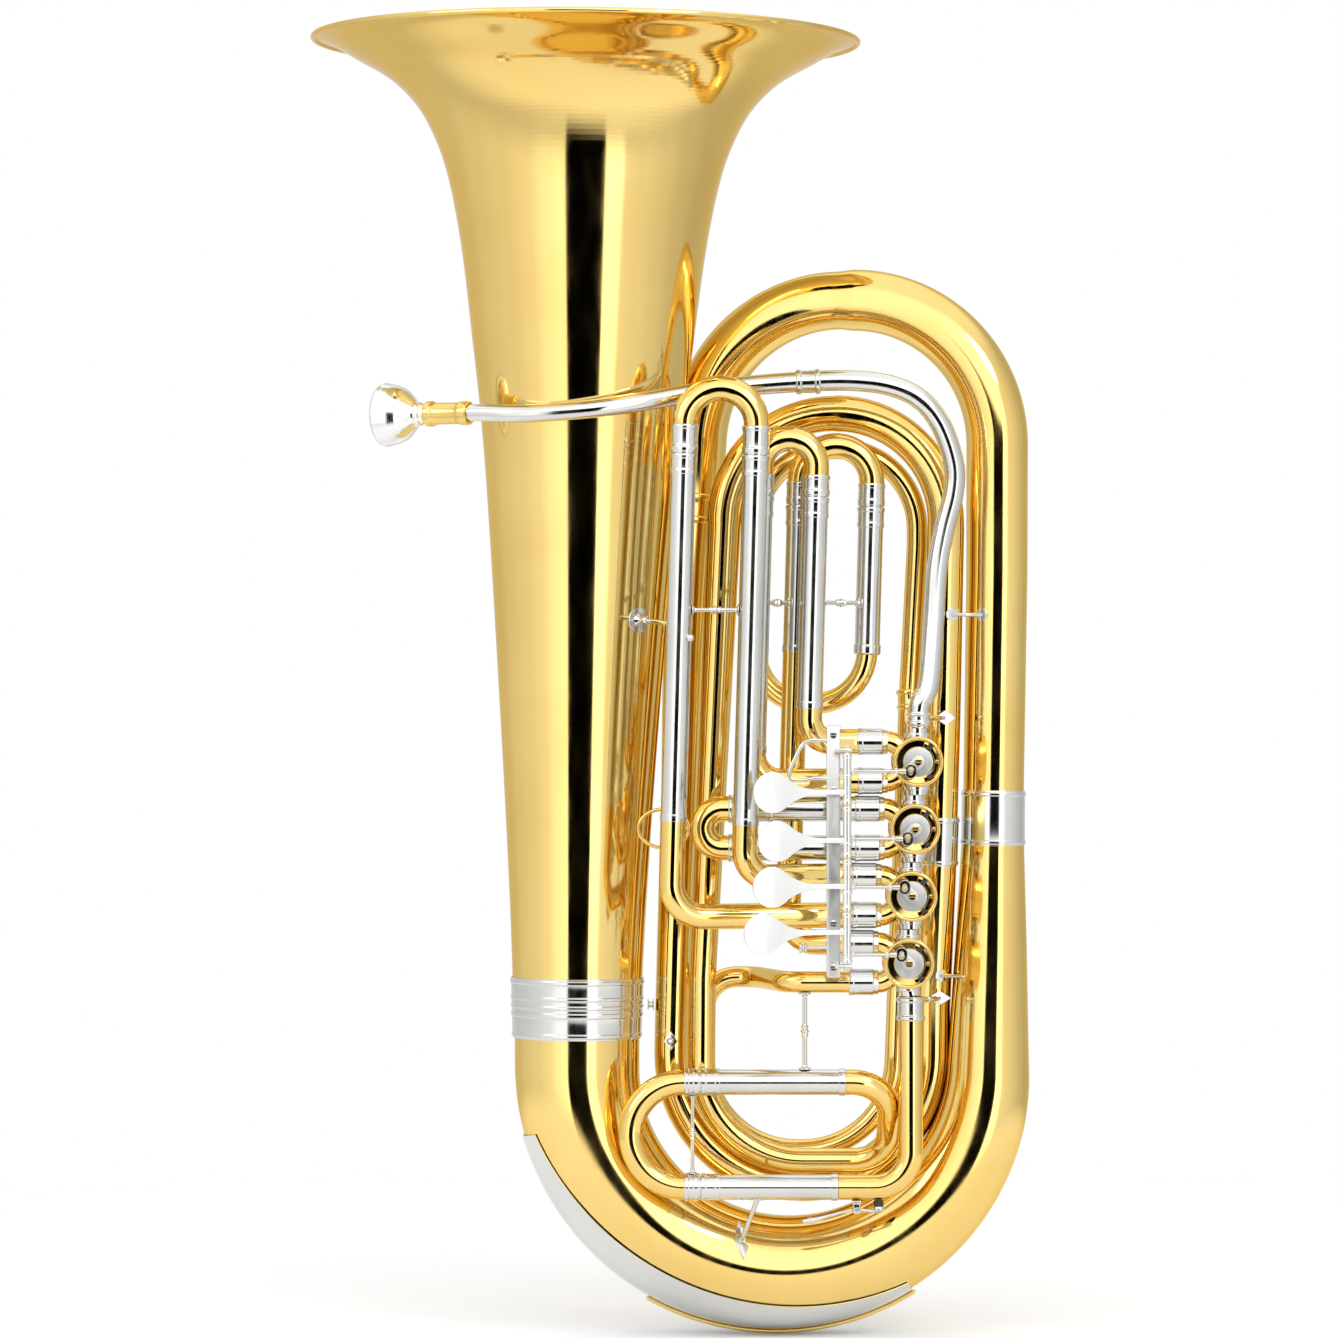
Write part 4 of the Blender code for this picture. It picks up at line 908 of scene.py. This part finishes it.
def make_slides():
    upright_tube("slide_1_upper_tube", 1, 1, 1, 17.0, 56.0, 462)
    upright_tube("slide_1_lower_tube", 1, -1, -1, 20.0, 48.0, 430)
    upright_tube("slide_3_upper_tube", 3, 1, 1, 20.0, 44.0, 378)
    upright_tube("slide_3_lower_tube", 3, -1, -1, 24.0, 40.0, 381)
    upright_tube("slide_4_upper_tube", 4, -1, 1, 22.0, 52.0, 503)
    second = SLIDES[2]
    x, z = valve_centre(2)
    for side, word in ((1, "upper"), (-1, "lower")):
        level = z + side * PORT_RISE
        node = f"slide_2_{word}_tube"
        Shape().pipe([(second.mouth.x - 0.2, PORT_Y, level, SLIDE_R),
                      (x - PORT_REACH - SEAM, PORT_Y, level, SLIDE_R)], sides=48).make(node, NICKEL,
                                                                                       nodes=[node])
    right = SLIDES[4]
    foot = LOOP_START_Z - right.mouth.z
    Shape().pipe([right.point(1, -0.2, SLIDE_R), right.point(1, foot + SEAM, SLIDE_R)], sides=48).make(
        "slide_4_lower_tube", NICKEL, nodes=["slide_4_lower_tube"])
    bands = Shape()
    for number in VALVES:
        moving_bow(f"slide_{number}_bow", SLIDES[number], f"slide_{number}_body")
        mouth_bands(bands, SLIDES[number])
    place = Vector(right.point(1, foot - 4.0, 0)[:3])
    bands.turned([(LOOP_R + 0.02, 0), (9.0, 0), (9.9, 1.2), (9.9, 7.2), (SLIDE_R + 0.02, 7.8),
                  (SLIDE_R + 0.02, 4.4), (LOOP_R + 0.02, 4.0)], frame_at(place, right.along), 56, 0.4)
    bands.make("slide_mouth_ferrules", NICKEL)
    half_x, half_z = RING_HALF
    middle = second.mouth + Vector((-RING_REACH, -2, 0))
    oval = [(middle.x + half_x * math.cos(a), middle.y, middle.z + half_z * math.sin(a), 1.3)
            for a in (math.tau * i / 72 for i in range(72))]
    ring = Shape().loop(oval, sides=16)
    foot = (second.mouth.x - 36.5, PORT_Y, second.mouth.z)
    ring.turned([(0.05, 11.5), (2.2, 11.5), (1.8, 8), (2.6, 1.6), (4.4, 0.8), (4.6, 0), (0.05, 0)],
                frame_at(foot, (-1, 0, 0)), 28, 0.4, closed=False)
    ring.make("slide_2_pull_ring", BRASS, "slide_2_body", ["slide_2_pull_ring"])


def make_fourth_loop():
    """The fourth valve's extra tubing: a turn, an arc at the top, a bow at the bottom."""
    slide = SLIDES[4]
    start = slide.point(1, LOOP_START_Z - slide.mouth.z, LOOP_R)
    upper = route([start, (65.8, SLIDE_Y[4], 463, LOOP_R, 39), (-14.0, -2, 463, LOOP_R, 39),
                   (-14.9, -2, 649.8, LOOP_R, 58.5), (104.4, 0, 649.8, LOOP_R, 58.5),
                   (104.3, 0, 578, LOOP_R), (98.6, 5, 465 + SEAM, LOOP_R)])
    Shape().pipe(upper, sides=40).make("fourth_loop_upper", BRASS, nodes=["fourth_loop_upper"])
    x, z = valve_centre(4)
    level = z - PORT_RISE
    lower = route([(98.6, 5, 465, LOOP_R), (90.3, 18, 243.7, LOOP_R), (86.4, 20, 133.2, LOOP_R, 68),
                   (-51.7, 20, 133.2, LOOP_R, 68), (-51.7, 20, level, LOOP_R, 24),
                   (-14, 17, level, LOOP_R, 18), (8, PORT_Y, level, LOOP_R, 18),
                   (x - PORT_REACH - SEAM, PORT_Y, level, LOOP_R)])
    Shape().pipe(lower, sides=40).make("fourth_loop_lower", BRASS, nodes=["fourth_loop_lower"])
    banded_sleeve("fourth_loop_ferrule", (99.0, 4.4, 458), (98.3, 5.4, 473), LOOP_R + 0.02, 9.2,
                  [(0.14, 0.24), (0.86, 0.24)], slot=BRASS)


# Main slide and water key --------------------------------------------------

def make_main_slide():
    for side, word, end_x in ((1, "upper", 50.0), (-1, "lower", 44.5)):
        level = MAIN_SLIDE.point(side, 0, 0)[2]
        node = f"main_slide_{word}_tube"
        tube = Shape().pipe([MAIN_SLIDE.point(side, -0.2, SLIDE_R), (end_x, PORT_Y, level, SLIDE_R)],
                            sides=48)
        tube.turned([(SLIDE_R + 0.02, 5.0), (9.8, 5.0), (9.8, 0), (SLIDE_R + 0.02, 0)],
                    frame_at((end_x - 5.0, PORT_Y, level), (1, 0, 0)), 56, 0.4)
        tube.make(node, NICKEL, nodes=[node])
    bands = Shape()
    mouth_bands(bands, MAIN_SLIDE, length=14.0)
    bands.make("main_slide_mouth_ferrules", NICKEL)
    moving_bow("main_slide_bow", MAIN_SLIDE, "main_slide_body")
    _, z = valve_centre(4)
    top = z - HALF_PITCH - 0.6
    outlet = route([(44.8, PORT_Y, MAIN_LOWER_Z, SLIDE_R), (OUTLET_X, PORT_Y, MAIN_LOWER_Z, SLIDE_R, 26),
                    (OUTLET_X, PORT_Y, top, SLIDE_R)])
    Shape().pipe(outlet, sides=48).make("valve_outlet_tube", BRASS, nodes=["valve_outlet_tube"])
    banded_sleeve("valve_outlet_ferrule", (OUTLET_X, PORT_Y, 233.0), (OUTLET_X, PORT_Y, top - 0.2),
                  SLIDE_R + 0.02, 10.4, [(0.12, 0.2), (0.88, 0.2)])


def make_water_key():
    """A sprung lever under the outlet elbow, on a saddle with its pivot screw."""
    pivot = joint_place("water_key_tip")
    x, y, z = pivot
    under = MAIN_LOWER_Z - SLIDE_R - 0.3
    saddle = Shape()
    saddle.box((x - 3.4, y - 5.4, under - 2.2), (x + 3.4, y + 5.4, under), 0.6)
    for side in (-1, 1):
        saddle.box((x - 2.6, y + side * 4.3 - 0.8, z - 2.6), (x + 2.6, y + side * 4.3 + 0.8, under - 1), 0.7)
    saddle.rod((x, y - 6.0, z), (x, y + 6.0, z), 0.95)
    screw(saddle, (x, y - 5.6, z), (0, -1, 0), 2.0, 1.0)
    saddle.make("water_key_saddle", NICKEL, nodes=["water_key_saddle"])
    key = Shape()
    key.turned([(1.15, 3.2), (2.5, 3.2), (2.5, -3.2), (1.15, -3.2)], facing_front(x, y, z), 36, 0.3)
    finger = flowing([(x - 1.8, y, z, 1.4), (x - 10, y, z - 1.8, 1.2), (x - 20, y, z - 4.5, 1.3),
                      (x - 29, y, z - 7.0, 1.9), (x - 34, y, z - 8.0, 2.5), (x - 38, y, z - 8.4, 1.4)], 6)
    key.pipe(finger, None, sides=20)
    key.ball((x - 38, y, z - 8.4), 1.6)
    key.pipe(flowing([(x + 1.8, y, z, 1.4), (x + 9, y, z - 0.8, 1.3), (x + 16, y, z - 0.6, 1.7)], 6),
             None, 20)
    key.turned([(0.05, 2.8), (3.9, 2.8), (4.2, 0), (2.2, -1.2), (0.05, -1.2)],
               Matrix.Translation((x + 16, y, z - 0.4)), 36, 0.3, closed=False)
    key.make("water_key", NICKEL, "water_key_body", ["water_key"])
    pad = Shape()
    pad.turned([(0.05, under - 0.15), (3.5, under - 0.15), (3.5, z + 2.0), (0.05, z + 2.0)],
               Matrix.Translation((x + 16, y, 0)), 36, 0.4, closed=False)
    pad.make("water_key_cork", CORK, "water_key_body")
    spring = Shape()
    for side in (-1, 1):
        coil = [(x + 3.0 * math.cos(a), y + side * (1.7 + 0.55 * a / math.tau), z + 3.0 * math.sin(a), 0.35)
                for a in (math.tau * i / 16 for i in range(35))]
        spring.pipe(coil, None, sides=8)
    spring.make("water_key_spring", BRASS)


# Stays and flanges ---------------------------------------------------------

def stay(shape, start, end, radius=1.6, foot=4.2, collar=True):
    """A turned rod between two tubes: a round foot at each end and a bead in the middle."""
    start, end = Vector(start), Vector(end)
    length = (end - start).length
    thick = min(1.3, length / 5)
    profile = [(0.05, length), (foot, length), (foot, length - 0.5 * thick), (foot * 0.5, length - thick),
               (radius, length - 2 * thick)]
    if collar and length > 18:
        middle = length / 2
        profile += [(radius, middle + 4.6), (radius * 1.7, middle + 3.2), (radius * 1.1, middle + 1.7),
                    (radius * 2.0, middle), (radius * 1.1, middle - 1.7), (radius * 1.7, middle - 3.2),
                    (radius, middle - 4.6)]
    profile += [(radius, 2 * thick), (foot * 0.5, thick), (foot, 0.5 * thick), (foot, 0), (0.05, 0)]
    shape.turned(profile, frame_at(start, end - start), 32, 0.4, closed=False)


def on_tube(centre, radius, way):
    """The point on a tube's surface in a direction from its axis."""
    return Vector(centre) + Vector(way).normalized() * radius


def flange(shape, place, way, radius=8.0, point=0.0, turn=0.0):
    """A thin foot on a tube, round, or drawn out to a point each side."""
    outline = [(x * (1 + point), y) for x, y in circle(radius, 36)]
    if point:
        outline = [(x, y * (1 - 0.75 * abs(x) / (radius * (1 + point)))) for x, y in outline]
    shape.plate(outline, 1.2, 0.4, frame_at(place, way) @ Matrix.Rotation(turn, 4, "Z"))


def make_stays():
    main_top = MAIN_UPPER_Z + SLIDE_R
    _, z4 = valve_centre(4)
    upright_stay = Shape()
    stay(upright_stay, (20.5, PORT_Y, main_top + 0.3),
         (20.5, PORT_Y, z4 - PORT_RISE - LOOP_R - 0.3), 1.7, 4.6)
    upright_stay.make("main_slide_stay", NICKEL, nodes=["main_slide_stay"])
    side_stay = Shape()
    stay(side_stay, (-93.7, 8, 241), (-89.0, 8, 241), 2.2, 4.6)
    side_stay.make("bell_stay", NICKEL, nodes=["bell_stay"])
    braces = Shape()
    third, first, fourth = SLIDES[3], SLIDES[1], SLIDES[4]
    a, b = third.leg(-1, 530.5), third.leg(1, 530.5)
    stay(braces, a + Vector((SLIDE_R, 0, 0)), b - Vector((SLIDE_R, 0, 0)))
    for side in (-1, 1):
        a, b = first.leg(side, 536), fourth.leg(side, 536)
        way = (b - a).normalized()
        stay(braces, a + way * SLIDE_R, b - way * SLIDE_R)
    axis = Vector((BELL_X + 304.5 * math.sin(BELL_LEAN), 0, 523.5))
    way = Vector((42.4, -46.0, 0)).normalized()
    wall = axis + way * 62.9
    flange(braces, wall + way * 0.2, way, 9.4)
    braces.turned([(0.05, 8.0), (2.0, 8.0), (2.2, 3.0), (5.2, 0.8), (5.2, 0), (0.05, 0)],
                  frame_at(wall, way), 32, 0.5, closed=False)
    leg = third.leg(-1, 520.4)
    braces.ball(wall + way * 8.0, 3.2)
    braces.rod(wall + way * 8.0, leg + Vector((-SLIDE_R * 0.7, SLIDE_R * 0.7, 0)), 1.9)
    braces.ball(third.leg(-1, 510.3) + Vector((8.2, -6.4, 0)), 3.0)
    braces.rod(third.leg(-1, 510.3), third.leg(-1, 510.3) + Vector((8.2, -6.4, 0)), 1.5)
    for z, inner, outer in ((527.7, (123.6, -11.6), (162.6, 0.0)), (263.1, (116.6, 5.6), (158.2, 0.0))):
        start = on_tube((inner[0], inner[1], z), 13.4, (0.42, -1, 0))
        end = on_tube((outer[0], outer[1], z), 22.6, (-0.62, -1, 0))
        flange(braces, start, (0.42, -1, 0), 4.8)
        flange(braces, end, (-0.62, -1, 0), 4.8)
        knee = (start + end) / 2 + Vector((0, -3.0, 0))
        braces.pipe(flowing([(*start, 1.5), (*knee, 1.5), (*end, 1.5)], 8), None, sides=16)
    low = Vector((-14.0, PORT_Y, MAIN_LOWER_Z - SLIDE_R))
    bow = Vector((-25.0, -34.6, 72.0))
    way = Vector((0.2, -0.82, 0.55)).normalized()
    flange(braces, bow, way, 6.4, 1.5, math.radians(90))
    braces.pipe(flowing([(*bow, 2.2), (*(bow + way * 9), 1.9), (-18, -50.0, 92.0, 1.7),
                         (*low, 1.9)], 8), None, 16)
    flange(braces, low + Vector((0, 0, 0.2)), (0, 0, -1), 4.4)
    flange(braces, Vector((119.5, -24.4, 247.6)), (0.15, -1, 0), 5.2, 0.6)
    braces.box((103.0, -46.0, 245.6), (112.0, -38.0, 249.6), 0.8)
    braces.pipe(flowing([(106.5, -50, 247.6, 2.0), (113.0, -38, 247.6, 2.0),
                         (119.0, -25.0, 247.6, 2.2)], 8), None, 16)
    flange(braces, Vector((123.6, -26.6, 452.4)), (0.2, -1, 0), 5.2, 0.5)
    braces.pipe(flowing([(109.5, PORT_Y, 452.0, 2.0), (117.0, -40, 452.4, 2.0),
                         (123.0, -23.5, 452.4, 2.2)], 8), None, 16)
    flange(braces, Vector((-76.8, -1.2, 214.6)), (-0.15, -1, 0), 5.0, 0.4, math.radians(90))
    braces.ball((-77.2, -3.4, 214.6), 2.6)
    braces.make("tube_braces", NICKEL)
    bow_brace = Shape()
    x = MAIN_SLIDE.mouth.x - 6.0
    stay(bow_brace, (x, PORT_Y, MAIN_LOWER_Z + FERRULE_R - 0.3),
         (x, PORT_Y, MAIN_UPPER_Z - FERRULE_R + 0.3), 1.4, 3.0)
    bow_brace.make("main_slide_bow_brace", NICKEL, "main_slide_body")

# Floor, light and camera ---------------------------------------------------

def make_floor():
    """A pale round floor that fades out before its edge."""
    reach = 1.5
    shape = bmesh.new()
    bmesh.ops.create_circle(shape, cap_ends=True, segments=96, radius=reach)
    mesh = bpy.data.meshes.new("floor")
    shape.to_mesh(mesh)
    shape.free()
    floor = bpy.data.objects.new("floor", mesh)
    floor.location.z = -0.0004
    bpy.context.scene.collection.objects.link(floor)
    material = bpy.data.materials.new("pale_floor")
    material.use_nodes = True
    nodes, links = material.node_tree.nodes, material.node_tree.links
    shader = nodes["Principled BSDF"]
    shader.inputs["Base Color"].default_value = (0.9, 0.9, 0.9, 1)
    shader.inputs["Roughness"].default_value = 0.6
    place = nodes.new("ShaderNodeTexCoord").outputs["Object"]
    away = nodes.new("ShaderNodeVectorMath")
    away.operation = "LENGTH"
    links.new(place, away.inputs[0])
    fade = nodes.new("ShaderNodeMapRange")
    fade.interpolation_type = "SMOOTHSTEP"
    fade.inputs["From Min"].default_value = 0.7
    fade.inputs["From Max"].default_value = 1.35
    fade.inputs["To Min"].default_value = 1.0
    fade.inputs["To Max"].default_value = 0.0
    links.new(away.outputs["Value"], fade.inputs["Value"])
    links.new(fade.outputs["Result"], shader.inputs["Alpha"])
    mesh.materials.append(material)


def make_light():
    """A white room to the eye. Polished metal sees two soft boxes with a dark gap in front."""
    world = bpy.data.worlds.new("studio")
    bpy.context.scene.world = world
    world.use_nodes = True
    nodes, links = world.node_tree.nodes, world.node_tree.links
    nodes.clear()

    def maths(operation, *values):
        node = nodes.new("ShaderNodeMath")
        node.operation = operation
        for socket, value in zip(node.inputs, values):
            if isinstance(value, (int, float)):
                socket.default_value = value
            else:
                links.new(value, socket)
        return node.outputs[0]

    split = nodes.new("ShaderNodeSeparateXYZ")
    links.new(nodes.new("ShaderNodeTexCoord").outputs["Generated"], split.inputs[0])
    x, y, z = split.outputs
    bearing = maths("ARCTAN2", x, maths("MULTIPLY", y, -1.0))     # 0 is the front, positive is +X
    share = maths("ADD", maths("DIVIDE", bearing, math.tau), 0.5)
    ramp = nodes.new("ShaderNodeValToRGB")
    ramp.color_ramp.interpolation = "EASE"
    stops = [(-180, 0.75), (-130, 0.75), (-107, 0.85), (-77, 0.95), (-52, 1.1), (-34, 1.45), (-20, 1.6),
             (19, 2.2), (33, 2.1), (38, 1.1), (54, 1.0), (76, 0.85), (96, 0.7), (120, 0.6), (180, 0.75)]
    elements = ramp.color_ramp.elements
    for (degrees, value), index in zip(stops, range(len(stops))):
        position = degrees / 360 + 0.5
        if index == 0:
            element = elements[0]
            element.position = position
        elif index == len(stops) - 1:
            element = elements[-1]
            element.position = position
        else:
            element = elements.new(position)
        element.color = (value, value, value, 1)
    links.new(share, ramp.inputs["Fac"])
    level = nodes.new("ShaderNodeSeparateColor")
    links.new(ramp.outputs["Color"], level.inputs[0])
    upward = nodes.new("ShaderNodeMapRange")
    upward.interpolation_type = "SMOOTHSTEP"
    upward.inputs["From Min"].default_value = 0.55
    upward.inputs["From Max"].default_value = 0.85
    links.new(z, upward.inputs["Value"])
    downward = nodes.new("ShaderNodeMapRange")
    downward.interpolation_type = "SMOOTHSTEP"
    downward.inputs["From Min"].default_value = -0.35
    downward.inputs["From Max"].default_value = -0.75
    links.new(z, downward.inputs["Value"])

    def blend(low, high, factor):
        return maths("ADD", maths("MULTIPLY", low, maths("SUBTRACT", 1.0, factor)),
                     maths("MULTIPLY", high, factor))

    def window(source, low, high, soft):
        """1 between low and high, 0 outside, with soft edges."""
        rise = maths("DIVIDE", maths("SUBTRACT", source, low - soft), 2 * soft)
        fall = maths("DIVIDE", maths("SUBTRACT", high + soft, source), 2 * soft)
        node = nodes.new("ShaderNodeClamp")
        links.new(maths("MINIMUM", rise, fall), node.inputs["Value"])
        return node.outputs[0]

    gap = maths("MULTIPLY", window(bearing, math.radians(-16), math.radians(19), math.radians(0.6)),
                window(z, -0.72, 0.125, 0.03))
    boxes = blend(blend(level.outputs[0], 1.3, upward.outputs[0]), 0.7, downward.outputs[0])
    seen = blend(boxes, 0.0, gap)
    camera = nodes.new("ShaderNodeLightPath").outputs["Is Camera Ray"]
    background = nodes.new("ShaderNodeBackground")
    links.new(blend(seen, 1.0, camera), background.inputs["Strength"])
    output = nodes.new("ShaderNodeOutputWorld")
    links.new(background.outputs[0], output.inputs["Surface"])
    background.inputs["Color"].default_value = (1, 1, 1, 1)
    lamps = (("key", (1.9, -2.4, 2.6), 1.2, 22), ("fill", (-2.6, -1.9, 1.9), 1.6, 14))
    for name, place, size, power in lamps:
        lamp = bpy.data.lights.new(name, "AREA")
        lamp.shape = "DISK"
        lamp.size = size
        lamp.energy = power
        light = bpy.data.objects.new(name, lamp)
        light.location = place
        light.rotation_euler = (Vector((0, 0, 0.5)) - light.location).to_track_quat("-Z", "Y").to_euler()
        bpy.context.scene.collection.objects.link(light)


def make_camera():
    lens = bpy.data.cameras.new("camera")
    lens.sensor_width = 36.0
    lens.lens = 153.8
    camera = bpy.data.objects.new("camera", lens)
    camera.location = (-0.078, -4.2, 0.488)
    camera.rotation_euler = (math.pi / 2, 0, 0)
    bpy.context.scene.collection.objects.link(camera)
    bpy.context.scene.camera = camera


def main():
    make_camera()
    make_bell()
    make_bottom_bow()
    make_bow_guard()
    make_branches()
    make_ferrules()
    make_leadpipe()
    make_receiver()
    make_mouthpiece()
    for number in VALVES:
        make_casing(number)
        make_stop(number)
        make_rotor(number)
        make_back_cap(number)
        make_lever(number)
        make_link(number)
    make_lever_rail()
    make_rail_fittings()
    make_slides()
    make_fourth_loop()
    make_main_slide()
    make_water_key()
    make_stays()
    make_floor()
    make_light()
    bpy.context.scene.view_settings.view_transform = "Standard"


main()
